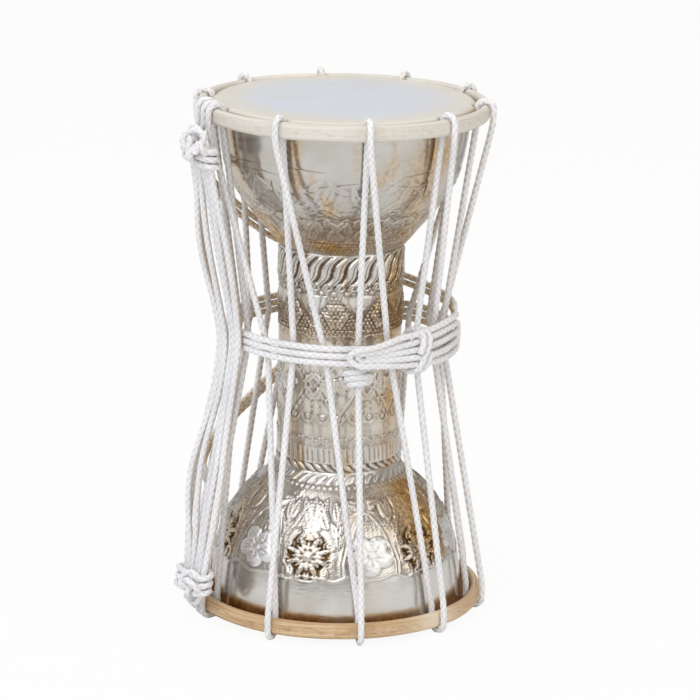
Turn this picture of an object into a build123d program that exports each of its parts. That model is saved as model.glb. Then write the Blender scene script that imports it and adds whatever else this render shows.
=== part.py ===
"""Hourglass talking drum: a plated metal shell with two skin heads on cane hoops,
one white cord laced from hoop to hoop, a binding wound round the waist and the spare
cord tied up in hanks.  Millimetres, +Z up, the drum's axis on Z, standing on z = 0.
Angles go round the axis from the front (-Y) towards the right (+X)."""
from build123d import *
import math
import os

# Cord
CORD_D = 3.3                 # braided lacing cord
CORD_GAP = 0.3               # air between a cord and what it lies on
TURN_GAP = 0.5               # air between neighbouring turns of one cord
FOOT_FLAT = 0.33             # the standing loops are pressed flat by this much

# Hoops
UPPER_HOOP_R = 75.2          # outer radius of the upper hoop
LOWER_HOOP_R = 76.4          # outer radius of the lower hoop
HOOP_THICK = 4.6             # cane thickness, radial
HOOP_TALL = 8.4              # cane height
HEADS_APART = 267.2          # lower face of the lower hoop to upper face of the upper hoop

# Shell
WALL = 1.0                   # sheet metal
UPPER_MARGIN = 4.6           # upper rim to the inner side of its hoop
LOWER_MARGIN = 4.8           # lower rim to the inner side of its hoop
WAIST_R = 32.1               # outer radius of the waist tube
UPPER_BOWL_TALL = 74.9       # waist joint to the upper rim
LOWER_BOWL_TALL = 75.1       # lower rim to the waist joint

# Heads
SKIN = 0.6                   # hide thickness
SKIN_SEAT = 0.1              # air between a skin's edge and its hoop
SKIN_EDGE = 1.6              # the flat of a skin stops this far inside the rim
SKIN_DROP = 3.9              # the skin falls this far from the flat to its hoop

# Lacing
LACES = 10                   # loops over each hoop
LACE_START = 10.0            # angle of the first loop
BINDING_Z = 148.9            # middle of the waist binding
LACE_WAIST_R = 53.0          # lace centres under the binding
LACE_BREAK = 3.0             # each lace is parted by this much under the binding
LOOP_BREAK = 0.9             # air between a hoop loop and the lace that swings on it

# Waist binding
TURNS = 3                    # turns round the laces
BINDING_LIFT = 4.9           # lace centre to binding centre
BINDING_END = 170.0          # angle where the binding ends, behind

# Hank tucked on the binding, front right
TUCK_LEFT, TUCK_RIGHT = 12.0, 76.0     # centres of its end folds
TUCK_RUNS = 5                # runs of cord side by side
TUCK_STEP = 4.7              # run to run at its right end, where it fans out
TUCK_PINCH = 3.85            # run to run at its left end, where it is drawn in
TUCK_RISE = 0.5              # its right end sits this much higher than its left

# Spare hank down the left side
HANK_ANGLE = -66.0           # where it crosses the binding
HANK_END_ANGLE = -60.0       # where its ends are
HANK_RUNS = 6                # runs of cord side by side
HANK_STEP = 4.2              # run to run at the ends
HANK_PINCH = 3.85            # run to run at the waist
HANK_TOP_Z, HANK_LOW_Z = 252.0, 20.0   # middles of its end folds
HANK_TOP_OUT, HANK_LOW_OUT = 8.2, 8.5  # how far the ends stand out from the laces
HANK_BEND = 9.0              # length of its bend over the binding
KNOT_TURNS = 3               # turns of each tie round the hank
TIE_ANGLES = (-66.5, -73.5)  # where the ties go over the hoops
TIE_STEP = 4.0               # turn to turn of a tie
TIE_SLACK = 0.3              # how loosely a tie lies round the hank
TIE_SWING = 9.0              # rise of the bend from the turns to the second leg
TIE_IN = 4.0                 # middle of the turns inside the end fold's middle

# Doubled cords that lead the binding's ends to the hank
BACK_STEP = 3.9              # between the two strands
UPPER_BACK = ((87, 10.4), (104, 11.2), (124, 12.2), (152, 16), (180, 23), (208, 34), (225, 46),
              (240, 60), (256, 75), (268, 84), (274.5, 89))  # angle, height over the binding
LOWER_BACK = ((184, -13), (196, -23), (210, -38), (226, -52), (244, -63), (262, -70),
              (276, -74), (286, -76))
KNOT_Z = 136.3               # middle of the small knot under the binding
KNOT_SLACK = 0.1             # how loosely it lies round its lace

R = CORD_D / 2
STEP = CORD_D + TURN_GAP
LOOP_R = HOOP_THICK / 2 + CORD_GAP + R             # centre line of a loop round a hoop
LOWER_HOOP_Z = CORD_D - FOOT_FLAT + CORD_GAP       # lower face of the lower hoop
UPPER_HOOP_Z = LOWER_HOOP_Z + HEADS_APART          # upper face of the upper hoop
UPPER_MID_R = UPPER_HOOP_R - HOOP_THICK / 2
LOWER_MID_R = LOWER_HOOP_R - HOOP_THICK / 2
UPPER_RIM_R = UPPER_HOOP_R - (HOOP_THICK + UPPER_MARGIN)   # outer radius of the upper rim
LOWER_RIM_R = LOWER_HOOP_R - (HOOP_THICK + LOWER_MARGIN)   # outer radius of the lower rim
HANK_TOP_R = UPPER_MID_R + LOOP_R + HANK_TOP_OUT
HANK_LOW_R = LOWER_MID_R + LOOP_R + HANK_LOW_OUT
UPPER_RIM_Z = UPPER_HOOP_Z - SKIN
LOWER_RIM_Z = LOWER_HOOP_Z + SKIN
UPPER_JOINT_Z = UPPER_RIM_Z - UPPER_BOWL_TALL
LOWER_JOINT_Z = LOWER_RIM_Z + LOWER_BOWL_TALL
BINDING_R = LACE_WAIST_R + BINDING_LIFT
LAYER = CORD_D + TURN_GAP                          # one cord laid over another

# Bowl profiles: share of the height from the waist joint, share of the flare
UPPER_SHAPE = ((0, 0), (0.067, 0.127), (0.147, 0.265), (0.227, 0.416), (0.32, 0.581),
               (0.427, 0.733), (0.574, 0.866), (0.734, 0.938), (0.894, 0.986), (1, 1))
LOWER_SHAPE = ((0, 0), (0.053, 0.063), (0.12, 0.226), (0.213, 0.433), (0.32, 0.622),
               (0.453, 0.779), (0.586, 0.88), (0.786, 0.96), (0.945, 0.99), (1, 1))

PARTS = {}


def polar(radius, angle, z):
    a = math.radians(angle)
    return Vector(radius * math.sin(a), -radius * math.cos(a), z)


def biarc(p0, t0, p1, t1):
    """Two arcs from p0 along t0 to p1 along t1, or a line where all are in line."""
    v = p1 - p0
    if v.cross(t0).length < 1e-4 * v.length and v.cross(t1).length < 1e-4 * v.length:
        return [Edge.make_line(p0, p1)]
    t = t0 + t1
    c = 2 * (1 - t0.dot(t1))
    vt = v.dot(t)
    if abs(c) < 1e-9:
        d = v.dot(v) / (4 * v.dot(t1))
    else:
        d = (-vt + math.sqrt(vt * vt + c * v.dot(v))) / c
    a, b = p0 + t0 * d, p1 - t1 * d
    j = (a + b) * 0.5
    tj = (b - a).normalized()
    return [Edge.make_tangent_arc(p0, t0, j), Edge.make_tangent_arc(j, tj, p1)]


def cord(name, course, flat=False):
    """One unbroken cord through (point, tangent) pairs; prints its least gap to itself."""
    edges = []
    for (p0, t0), (p1, t1) in zip(course, course[1:]):
        edges += biarc(p0, t0, p1, t1)
    wire = Wire(edges)
    section = Plane(origin=course[0][0], z_dir=course[0][1]) * Circle(R)
    solid = sweep(section, path=wire).solids()[0]
    ideal = math.pi * R * R * wire.length
    marks, run = [], 0.0
    for e in edges:
        k = max(2, int(e.length / 0.9))
        for i in range(k):
            marks.append((run + e.length * i / k, e.position_at(i / k)))
        run += e.length
    least = min(((p - q).length for i, (s, p) in enumerate(marks)
                 for u, q in marks[i + 1:] if u - s > 4 * CORD_D), default=99) - CORD_D
    tight = min((e.radius for e in edges if e.geom_type == GeomType.CIRCLE), default=99)
    print(name, "length %.0f" % run, "volume/ideal %.4f" % (solid.volume / ideal),
          "least gap to itself %.2f" % least, "least radius %.1f" % tight)
    if flat:
        solid = (Part() + solid & Pos(0, 0, 200) * Box(400, 400, 400)).solids()[0]
    return solid


def follow(curve, values):
    """(point, tangent) pairs of a curve at the given values, in their order."""
    course = []
    for i, u in enumerate(values):
        e = 1e-4 * (1 if values[-1] > values[0] else -1)
        course.append((curve(u), (curve(u + e) - curve(u - e)).normalized()))
    return course


def straight(p0, p1):
    d = p1 - p0
    return extrude(Plane(origin=p0, z_dir=d) * Circle(R), amount=d.length).solids()[0]


def keep(name, shapes):
    shapes = shapes if isinstance(shapes, list) else [shapes]
    PARTS[name] = shapes[0] if len(shapes) == 1 else Compound(shapes)


def ring(profile):
    return revolve(Plane.XZ * profile, Axis.Z).solids()[0]


# Shell
def bowl(shape, joint_z, rim_z, rim_r):
    tall, flare = rim_z - joint_z, rim_r - WAIST_R
    outer = [(WAIST_R + flare * b, joint_z + tall * a) for a, b in shape]
    inner = []
    for i, (r, z) in enumerate(outer):
        r0, z0 = outer[max(i - 1, 0)]
        r1, z1 = outer[min(i + 1, len(outer) - 1)]
        slope = (r1 - r0) / abs(z1 - z0)
        lean = math.sqrt(1 + slope * slope)
        inner.append((r - WALL * (lean if 0 < i < len(outer) - 1 else 1), z))
    edge = (Spline(*outer) + Line(outer[-1], inner[-1]) + Spline(*reversed(inner))
            + Line(inner[0], outer[0]))
    return ring(make_face(edge))


keep("upper_bowl", bowl(UPPER_SHAPE, UPPER_JOINT_Z, UPPER_RIM_Z, UPPER_RIM_R))
keep("lower_bowl", bowl(LOWER_SHAPE, LOWER_JOINT_Z, LOWER_RIM_Z, LOWER_RIM_R))
waist_tall = UPPER_JOINT_Z - LOWER_JOINT_Z
waist = Cylinder(WAIST_R, waist_tall) - Cylinder(WAIST_R - WALL, waist_tall)
keep("waist_tube", (Pos(0, 0, LOWER_JOINT_Z + waist_tall / 2) * waist).solids()[0])


# Heads: a flat hide over the rim that falls to its hoop, with a hole for each lace
def head(rim_r, rim_z, hoop_inner, inner_lace, up):
    flat = rim_r - SKIN_EDGE
    edge = hoop_inner - SKIN_SEAT
    thick = SKIN * math.hypot(1, SKIN_DROP / (edge - rim_r))
    pts = [(0, 0), (rim_r, 0), (edge, -SKIN_DROP + SKIN), (edge, -SKIN_DROP + SKIN + thick),
           (flat + SKIN_EDGE, SKIN), (0, SKIN)]
    pts = [(r, rim_z + (z if up else -z)) for r, z in pts]
    hide = ring(make_face(Polyline(*pts, close=True)))
    for angle in [LACE_START + 360 / LACES * k for k in range(LACES)] + list(TIE_ANGLES):
        p = polar(inner_lace, angle, rim_z)
        hide = hide - Pos(p) * Cylinder(R + CORD_GAP, 6 * SKIN_DROP)
    return hide.solids()[0]


UPPER_INNER = UPPER_MID_R - LOOP_R
UPPER_OUTER = UPPER_MID_R + LOOP_R
LOWER_INNER = LOWER_MID_R - LOOP_R
LOWER_OUTER = LOWER_MID_R + LOOP_R
keep("upper_skin", head(UPPER_RIM_R, UPPER_RIM_Z, UPPER_HOOP_R - HOOP_THICK, UPPER_INNER, True))
keep("lower_skin", head(LOWER_RIM_R, LOWER_RIM_Z, LOWER_HOOP_R - HOOP_THICK, LOWER_INNER, False))


# Hoops: bent cane with rounded edges
def hoop(mid_r, mid_z):
    section = SlotOverall(HOOP_TALL, HOOP_THICK, rotation=90)
    return ring(Pos(mid_r, mid_z) * section)


UPPER_MID_Z = UPPER_HOOP_Z - HOOP_TALL / 2
LOWER_MID_Z = LOWER_HOOP_Z + HOOP_TALL / 2
keep("upper_hoop", hoop(UPPER_MID_R, UPPER_MID_Z))
keep("lower_hoop", hoop(LOWER_MID_R, LOWER_MID_Z))


# Loops of the lacing cord round the hoops
def hoop_loop(mid_r, edge_z, far_z, angle):
    """A cord round one hoop: up one side, half round its edge, down the other side."""
    side = 1 if edge_z > far_z else -1
    turn_z = edge_z - side * HOOP_THICK / 2
    a, b = mid_r - LOOP_R, mid_r + LOOP_R
    top = polar(mid_r, angle, turn_z + side * LOOP_R)
    path = Wire([Edge.make_line(polar(b, angle, far_z), polar(b, angle, turn_z)),
                 Edge.make_three_point_arc(polar(b, angle, turn_z), top, polar(a, angle, turn_z)),
                 Edge.make_line(polar(a, angle, turn_z), polar(a, angle, far_z))])
    section = Plane(origin=polar(b, angle, far_z), z_dir=(0, 0, side)) * Circle(R)
    solid = sweep(section, path=path).solids()[0]
    if side < 0:
        solid = (Part() + solid & Pos(0, 0, 200) * Box(400, 400, 400)).solids()[0]
    return solid


UPPER_FAR_Z = UPPER_HOOP_Z - HOOP_TALL
LOWER_FAR_Z = LOWER_HOOP_Z + HOOP_TALL
ANGLES = [LACE_START + 360 / LACES * k for k in range(LACES)]
keep("upper_lace_loops", [hoop_loop(UPPER_MID_R, UPPER_HOOP_Z, UPPER_FAR_Z, a) for a in ANGLES])
keep("lower_lace_loops", [hoop_loop(LOWER_MID_R, LOWER_HOOP_Z, LOWER_FAR_Z, a) for a in ANGLES])

# Laces: each loop carries an upright lace and a slanting one, parted under the binding
HALF = 180 / LACES
up_z, low_z = UPPER_FAR_Z - LOOP_BREAK, LOWER_FAR_Z + LOOP_BREAK
for k, a in enumerate(ANGLES):
    upright = straight(polar(UPPER_INNER, a, up_z),
                       polar(LACE_WAIST_R, a, BINDING_Z + LACE_BREAK / 2))
    slanting = straight(polar(UPPER_OUTER, a, up_z),
                        polar(LACE_WAIST_R, a + HALF, BINDING_Z + LACE_BREAK / 2))
    keep("upper_laces_%02d" % (k + 1), [upright, slanting])
    upright = straight(polar(LOWER_OUTER, a, low_z),
                       polar(LACE_WAIST_R, a, BINDING_Z - LACE_BREAK / 2))
    slanting = straight(polar(LOWER_INNER, a, low_z),
                        polar(LACE_WAIST_R, a - HALF, BINDING_Z - LACE_BREAK / 2))
    keep("lower_laces_%02d" % (k + 1), [upright, slanting])

# Waist binding: turns side by side round all the laces, wound downwards
def binding_curve(turn):
    return polar(BINDING_R, BINDING_END + 360 * turn, BINDING_Z + STEP * (TURNS / 2 - turn))


binding = follow(binding_curve, [i / 4 for i in range(4 * TURNS + 1)])
keep("waist_binding", cord("waist_binding", binding))


# Hanks: loops of one cord that spiral outwards, drawn in at the waist
def hank(runs, spacing, half_length, spans, place):
    """A flat spiral of long loops; place(s, v) puts its points on the drum.
    s runs along the hank from -half_length to half_length, v across it, and the runs are
    spacing(s) apart."""
    course = []

    def across(n, s):
        return n * spacing(s)

    def put(curve, u):
        e = 1e-4
        tangent = (place(*curve(u + e)) - place(*curve(u - e))).normalized()
        course.append((place(*curve(u)), tangent))

    for i in range(runs):
        side = 1 if i % 2 == 0 else -1
        n = (0.5 + i // 2) * side
        for j in range(spans + 1):
            put(lambda u: (side * u, across(n, side * u)), half_length * (2 * j / spans - 1))
        if i == runs - 1:
            break
        a = across(n, side * half_length)
        b = across((0.5 + (i + 1) // 2) * -side, side * half_length)
        mid, rad = (a + b) / 2, abs(a - b) / 2
        for turn in (45, 90, 135):
            put(lambda u: (side * (half_length + rad * math.sin(u)),
                           mid + side * rad * math.cos(u)), math.radians(turn))
    return course


TUCK_R = BINDING_R + LAYER
tuck_mid = (TUCK_LEFT + TUCK_RIGHT) / 2
tuck_half = math.radians(TUCK_RIGHT - TUCK_LEFT) / 2 * TUCK_R


def tuck_place(s, v):
    lean = TUCK_RISE * s / tuck_half
    return polar(TUCK_R, tuck_mid + math.degrees(s / TUCK_R), BINDING_Z + v + lean)


def tuck_spacing(s):
    return TUCK_PINCH + (TUCK_STEP - TUCK_PINCH) * ((s / tuck_half + 1) / 2) ** 2


tuck = hank(TUCK_RUNS, tuck_spacing, tuck_half, 6, tuck_place)
keep("binding_hank", cord("binding_hank", tuck))

# Spare hank: from the upper tie down the left side, out over the binding, to the lower tie
HANK_MID_R = BINDING_R + LAYER
hank_half = (HANK_TOP_Z - HANK_LOW_Z) / 2
hank_mid = (HANK_TOP_Z + HANK_LOW_Z) / 2
HANK_FACE = (HANK_ANGLE + HANK_END_ANGLE) / 2
HANK_ACROSS = polar(1, HANK_FACE + 90, 0)
HANK_OUT = polar(1, HANK_FACE, 0)


def hank_middle(z):
    """Straight legs from the ends to a round bend over the binding."""
    end_z, end_r = (HANK_TOP_Z, HANK_TOP_R) if z > BINDING_Z else (HANK_LOW_Z, HANK_LOW_R)
    share = (math.hypot(z - BINDING_Z, HANK_BEND) - HANK_BEND) / abs(end_z - BINDING_Z)
    return polar(HANK_MID_R + (end_r - HANK_MID_R) * share,
                 HANK_ANGLE + (HANK_END_ANGLE - HANK_ANGLE) * share, z)


def hank_spacing(s):
    return HANK_STEP + (HANK_PINCH - HANK_STEP) * math.exp(-(2.2 * s / hank_half) ** 2)


def hank_place(s, v):
    return hank_middle(hank_mid + s) + HANK_ACROSS * v


keep("spare_hank", cord("spare_hank", hank(HANK_RUNS, hank_spacing, hank_half, 10, hank_place)))


# Ties: a leg over the hoop, turns of cord round an end of the hank, a leg back over the hoop
def tie(name, z, hoop_mid_r, edge_z, far_z):
    side = 1 if edge_z > far_z else -1
    turn_z = edge_z - side * HOOP_THICK / 2
    outer, inner = hoop_mid_r + LOOP_R, hoop_mid_r - LOOP_R
    wide = (HANK_RUNS - 1) / 2 * HANK_STEP + LAYER + TIE_SLACK
    deep = LAYER + TIE_SLACK

    def turns(t):
        """Flat turns that climb away from the hoop, one cord below another."""
        level = z - side * TIE_STEP * (t - KNOT_TURNS / 2)
        c, s = -math.cos(2 * math.pi * t), math.sin(2 * math.pi * t)
        square = (abs(c) ** 4 + abs(s) ** 4) ** -0.25
        return (hank_middle(level) + HANK_ACROSS * (wide * c * square) + HANK_OUT * (deep * s * square))

    def leg(angle):
        """Down inside the hoop, round its edge and away outside it."""
        q = LOOP_R * math.sin(math.pi / 4)
        radial = polar(1, angle, 0)
        up = Vector(0, 0, side)
        return [(polar(inner, angle, far_z), up), (polar(inner, angle, turn_z), up),
                (polar(hoop_mid_r - q, angle, turn_z + side * q), (up + radial).normalized()),
                (polar(hoop_mid_r, angle, turn_z + side * LOOP_R), radial),
                (polar(hoop_mid_r + q, angle, turn_z + side * q), (radial - up).normalized()),
                (polar(outer, angle, turn_z), -up),
                (polar(outer, angle, far_z), -up)]

    first = leg(TIE_ANGLES[0])
    last = [(p, -t) for p, t in reversed(leg(TIE_ANGLES[1]))]
    end = KNOT_TURNS - 0.25
    wound = follow(turns, [end * i / (8 * KNOT_TURNS - 2) for i in range(8 * KNOT_TURNS - 1)])
    level = z - side * TIE_STEP * (end - KNOT_TURNS / 2)
    beside = wide + LAYER + TIE_SLACK
    way = [(hank_middle(level) - HANK_ACROSS * wide
            - HANK_OUT * (deep + TIE_SLACK), -HANK_ACROSS),
           (hank_middle(level) + Vector(0, 0, side * TIE_SWING) - HANK_ACROSS * beside
            - HANK_OUT * (deep + TIE_SLACK), Vector(0, 0, side))]
    return cord(name, first + wound + way + last, flat=side < 0)


keep("upper_tie", tie("upper_tie", HANK_TOP_Z - TIE_IN, UPPER_MID_R, UPPER_HOOP_Z, UPPER_FAR_Z))
keep("lower_tie", tie("lower_tie", HANK_LOW_Z + TIE_IN, LOWER_MID_R, LOWER_HOOP_Z, LOWER_FAR_Z))


# Doubled cords from the binding round the back to the hank, laid on the laces
def upper_lace_r(z):
    share = (z - BINDING_Z) / (up_z - BINDING_Z)
    return LACE_WAIST_R + (UPPER_OUTER - LACE_WAIST_R) * share


def lower_lace_r(z):
    share = (BINDING_Z - z) / (BINDING_Z - low_z)
    return LACE_WAIST_R + (LOWER_OUTER - LACE_WAIST_R) * share


def smooth(stops, u):
    """Values between the stops, with no kink at a stop."""
    i = min(max(int(u), 0), len(stops) - 2)
    f = u - i
    out = []
    for k in range(len(stops[0])):
        b, c = stops[i][k], stops[i + 1][k]
        a = stops[i - 1][k] if i else 2 * b - c
        d = stops[i + 2][k] if i + 2 < len(stops) else 2 * c - b
        out.append(b + 0.5 * f * (c - a + f * (2 * a - 5 * b + 4 * c - d
                                               + f * (3 * (b - c) + d - a))))
    return out


def doubled(stops, lie, first):
    """Out along one strand, round a fold and back along the other."""
    def middle(u):
        angle, height = smooth(stops, u)
        return polar(lie(height), angle, BINDING_Z + height), angle

    def strand(u, side):
        e = 1e-3
        p, angle = middle(u)
        ahead = (middle(u + e)[0] - middle(u - e)[0]).normalized()
        beside = ahead.cross(polar(1, angle, 0)).normalized()
        return p + beside * (BACK_STEP / 2 * side), ahead, beside

    n = len(stops) - 1
    us = [n * i / (3 * n) for i in range(3 * n + 1)]
    out = follow(lambda u: strand(u, 1)[0], us)
    back = follow(lambda u: strand(u, -1)[0], list(reversed(us)))
    tip, ahead, _ = strand(n, 0)
    fold = [(tip + ahead * (BACK_STEP / 2), (back[0][0] - out[-1][0]).normalized())]
    return first + out + fold + back


tuck_end = tuck[-1]
keep("upper_back_cord", cord("upper_back_cord", doubled(
    UPPER_BACK, lambda h: upper_lace_r(BINDING_Z + h + BACK_STEP / 2) + LAYER, [tuck_end])))
keep("lower_back_cord", cord("lower_back_cord", doubled(
    LOWER_BACK, lambda h: lower_lace_r(BINDING_Z + h - BACK_STEP / 2) + LAYER, [binding[-1]])))

# Small knot of the binding's other end round the lace in front
knot_from = polar(lower_lace_r(KNOT_Z), LACE_START, KNOT_Z)
knot_axis = (polar(LACE_WAIST_R, LACE_START, BINDING_Z)
             - polar(LOWER_OUTER, LACE_START, low_z)).normalized()
knot_x = polar(1, LACE_START + 90, 0)
knot_y = knot_axis.cross(knot_x)


def knot_curve(turn):
    c, q = math.cos(2 * math.pi * turn), math.sin(2 * math.pi * turn)
    return (knot_from + (knot_x * c + knot_y * q) * (CORD_D + CORD_GAP + KNOT_SLACK)
            + knot_axis * (STEP * (turn - 1)))


keep("binding_knot", cord("binding_knot", follow(knot_curve, [i / 4 for i in range(9)])))

os.makedirs("parts", exist_ok=True)
for name, shape in PARTS.items():
    export_step(shape, "parts/%s.step" % name)
print(len(PARTS), "pieces")
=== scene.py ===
"""Dress of an hourglass talking drum: chased and plated shell, two hide heads on cane hoops,
white braided cord laced from hoop to hoop, a binding round the waist and the spare cord in hanks.
All sizes are in millimetres, as in the solids, and become metres when a mesh is made.
Angles go round the drum's axis from the front (-Y) towards the right (+X), in degrees."""
import math
from types import SimpleNamespace

import bpy
import numpy as np
from mathutils import Matrix


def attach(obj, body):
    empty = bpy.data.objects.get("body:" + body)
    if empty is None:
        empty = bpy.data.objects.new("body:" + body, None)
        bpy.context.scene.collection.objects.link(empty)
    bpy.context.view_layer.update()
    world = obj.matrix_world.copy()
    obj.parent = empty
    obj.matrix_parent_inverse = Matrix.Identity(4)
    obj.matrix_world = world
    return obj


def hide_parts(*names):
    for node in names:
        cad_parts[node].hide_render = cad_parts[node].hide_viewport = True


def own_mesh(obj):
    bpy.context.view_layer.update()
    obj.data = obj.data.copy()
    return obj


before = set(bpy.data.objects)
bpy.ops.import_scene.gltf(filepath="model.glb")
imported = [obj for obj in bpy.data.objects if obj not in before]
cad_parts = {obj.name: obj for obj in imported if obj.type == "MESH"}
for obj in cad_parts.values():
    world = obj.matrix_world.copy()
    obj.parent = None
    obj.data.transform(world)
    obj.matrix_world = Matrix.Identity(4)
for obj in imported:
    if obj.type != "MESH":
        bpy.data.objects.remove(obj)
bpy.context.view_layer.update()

TAU = 2 * np.pi
UP = np.array([0, 0, 1.0])

# Cord
CORD_R = 1.65
LAYER = 3.8                           # one cord laid beside or over another
BRAID_PITCH, BRAID_WINDS = 4.0, 1.5   # length of two lozenges of the braid, how its strands wind
BRAID_DEEP, BRAID_FULL = 0.15, 1.3    # depth as a share of the radius, crowns as a share of that
CORD_STEP, CORD_SIDES = 0.5, 20       # ring to ring along a drawn cord, points in a ring
BEND_FINE, BEND_SPEED = 20, 1.1       # points in a bend, its end speed as a share of its chord
LOOP_FINE, LACE_FINE, FOLD_FINE = 24, 12, 16               # points in a loop, a lace's bend, a fold
BINDING_FINE, WRAP_FINE, KNOT_FINE = 300, 90, 48           # and in one turn
FLOOR_GAP = 0.02
# Shares of painted shade: a tan tint on the side of a cord that faces the drum's axis, standing for
# shade and warm reflected light there, fullest on the binding and the cords behind
SIDE_SHADE, HANK_SIDE_SHADE, BINDING_SIDE_SHADE, BACK_SIDE_SHADE = 0.3, 0.7, 0.95, 1.0   # of the side next to the drum

# Hoops
HOOP_THICK, HOOP_TALL = 4.6, 8.4
HOOP_GIRTH, HOOP_EDGE = 720, 14       # points round a hoop and over each of its edges
HOOP_SWELL, HOOP_STRAY = 0.02, 0.12   # share by which the section swells, how far it strays
# A marked paler stretch of cane: wear, with a painted highlight in it
HOOP_PALE, HOOP_PALE_WIDE = 0.75, 11  # a paler stretch and its width in degrees

# Heads
SKIN, SKIN_DROP = 0.6, 3.9
HIDE_GIRTH, HIDE_FLAT_ROWS, HIDE_EDGE_ROWS = 540, 14, 18
HIDE_CLEAR, HIDE_SWELL, HIDE_MIDDLE = 0.15, 0.06, 0.6
PULL_DEEP, PULL_WIDE, PULL_LONG = 0.9, 2.3, 2.0            # hide drawn down at a lace
# Painted shade: dark at the lace holes and in the crease outside the rim
HOLE_WIDE, HOLE_LONG, HOLE_IN, HOLE_DARK = 1.6, 1.5, 1.2, 0.9
CREASE_FROM, CREASE_TO, CREASE_DARK = 0.4, 2.6, 0.85       # outside the rim

# Shell
WALL, WAIST_R = 1.0, 32.1
UPPER_SHAPE = ((0, 0), (0.067, 0.127), (0.147, 0.265), (0.227, 0.416), (0.32, 0.581),
               (0.427, 0.733), (0.574, 0.866), (0.734, 0.938), (0.894, 0.986), (1, 1))
LOWER_SHAPE = ((0, 0), (0.053, 0.063), (0.12, 0.226), (0.213, 0.433), (0.32, 0.622),
               (0.453, 0.779), (0.586, 0.88), (0.786, 0.96), (0.945, 0.99), (1, 1))
BOWL_GIRTH, WAIST_GIRTH, WAIST_ROWS = 640, 400, 226
JOINT_FADE = 0.02                                          # share over which the relief sets in
HOLLOW_ROWS, HOLLOW_COLUMNS, HOLLOW_NEAR = 3, 4, 3.4       # dark where it lies below its window
HOLLOW_CUT, HOLLOW_CUT_MOST = 1.2, 0.7                     # and where it is cut below the plain wall
INSIDE_STEP = 12                                           # rows outside for each one inside

# Lacing
LACES, LACE_START = 10, 10.0
LACE_ANGLES = LACE_START + 360 / LACES * np.arange(LACES)
BINDING_Z, LACE_WAIST_R = 148.9, 53.0
LOOP_R, LOOP_BREAK, LOOP_TUCK = 4.25, 0.9, 0.6
LACE_TUCK, LACE_CORNER, LACE_BEND, LACE_FOOT = 1.2, 1.5, 7.0, 0.8


def drum_end(name, side, hoop_r, hoop_z, hank_out, **sizes):
    """One end of the drum. The side is 1 or -1; a hoop has its outer edge at hoop_z and the other at
    far_z, and a cord over it turns round mid_r from the inner to the outer radius."""
    mid_r = hoop_r - HOOP_THICK / 2
    return SimpleNamespace(
        name=name, side=side, hoop_r=hoop_r, mid_r=mid_r, inner=mid_r - LOOP_R, outer=mid_r + LOOP_R,
        hoop_z=hoop_z, far_z=hoop_z - side * HOOP_TALL, turn_z=hoop_z - side * HOOP_THICK / 2,
        hank_r=mid_r + LOOP_R + hank_out, **sizes)


# Rows are the chased share of the wall, rows in it and rows beyond; soft is how far in the colour of
# the hide's edge reaches; a hitch is its turn and its size; cane is its seed and its paler place.
UPPER = drum_end("upper", 1, hoop_r=75.2, hoop_z=270.47, hank_out=8.2, hank_z=252.0, rim_r=66.0,
                 rim_z=269.87, joint_z=194.97, shape=UPPER_SHAPE, rows=(0.7, 128, 12), soft=25.0,
                 hitch=(20, 8.5), cane=(21, 200))
LOWER = drum_end("lower", -1, hoop_r=76.4, hoop_z=3.27, hank_out=8.5, hank_z=20.0, rim_r=67.0,
                 rim_z=3.87, joint_z=78.97, shape=LOWER_SHAPE, rows=(0.67, 128, 10), soft=6.0,
                 hitch=(75, 7.5), cane=(22, 44))
ENDS = (UPPER, LOWER)

# Waist binding and its tucked hank
BINDING_R, TURNS, BINDING_END = 57.9, 3, 170.0
TUCK_LEFT, TUCK_RIGHT, TUCK_RUNS = 12.0, 76.0, 5
TUCK_STEP, TUCK_PINCH, TUCK_RISE = 4.7, 3.85, 0.5
TUCK_BOWS = (1.2, 2.4, 0.4, 1.6, 0.2)          # how far each strand lifts
TUCK_SWAYS = (0.4, -0.3, 0.9, -0.6, 0.6)       # and strays up or down
TUCK_POINT, TUCK_OVER = 0.38, 4.0              # how the left end is drawn to a point
TUCK_POINT_FROM, TUCK_POINT_TO = -0.35, -1.05
TUCK_R = BINDING_R + LAYER
TUCK_MID = (TUCK_LEFT + TUCK_RIGHT) / 2
TUCK_HALF = math.radians(TUCK_RIGHT - TUCK_LEFT) / 2 * TUCK_R
WRAP_AT, WRAP_TURNS, WRAP_STEP, WRAP_LEAN = 42.0, 2, 3.6, 4.0   # turns round binding and hank
WRAP_IN, WRAP_OUT, WRAP_TALL = 49.0, 66.0, 10.0

# Spare hank and its ties
HANK_ANGLE, HANK_END_ANGLE, HANK_RUNS = -66.0, -60.0, 6
HANK_STEP, HANK_PINCH, HANK_PINCH_SHARP, HANK_BEND = 4.2, 3.85, 2.2, 9.0
HANK_BOWS = (0.4, 3.8, 1.2, 5.8, 0.0, 2.6)      # how far each strand hangs out
HANK_SWAYS = (0.8, -0.9, 1.1, -0.7, 0.9, -1.0)  # and strays along the sheet
HANK_SLACK_TOP, HANK_SLACK_LOW, HANK_WAVES = 0.95, 1.25, 2.5
HANK_OVER, HANK_OVER_TALL, HANK_FAN = 1.5, 26, 0.2
HANK_MID_R = BINDING_R + LAYER
HANK_HALF, HANK_MID = (UPPER.hank_z - LOWER.hank_z) / 2, (UPPER.hank_z + LOWER.hank_z) / 2
RUN_FINE, HANK_FOLD_FINE = 160, 24
TIE_ANGLES, TIE_TURNS, TIE_FINE = (-66.5, -73.5), 3, 8
TIE_STEP, TIE_SLACK, TIE_SWING, TIE_IN = 4.0, 0.3, 9.0, 4.0
HITCH_RISE, HITCH_ASIDE, HITCH_LIFT, HITCH_TALL, HITCH_DEEP = 3.0, 7.0, 5.0, 0.85, 0.42
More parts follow.
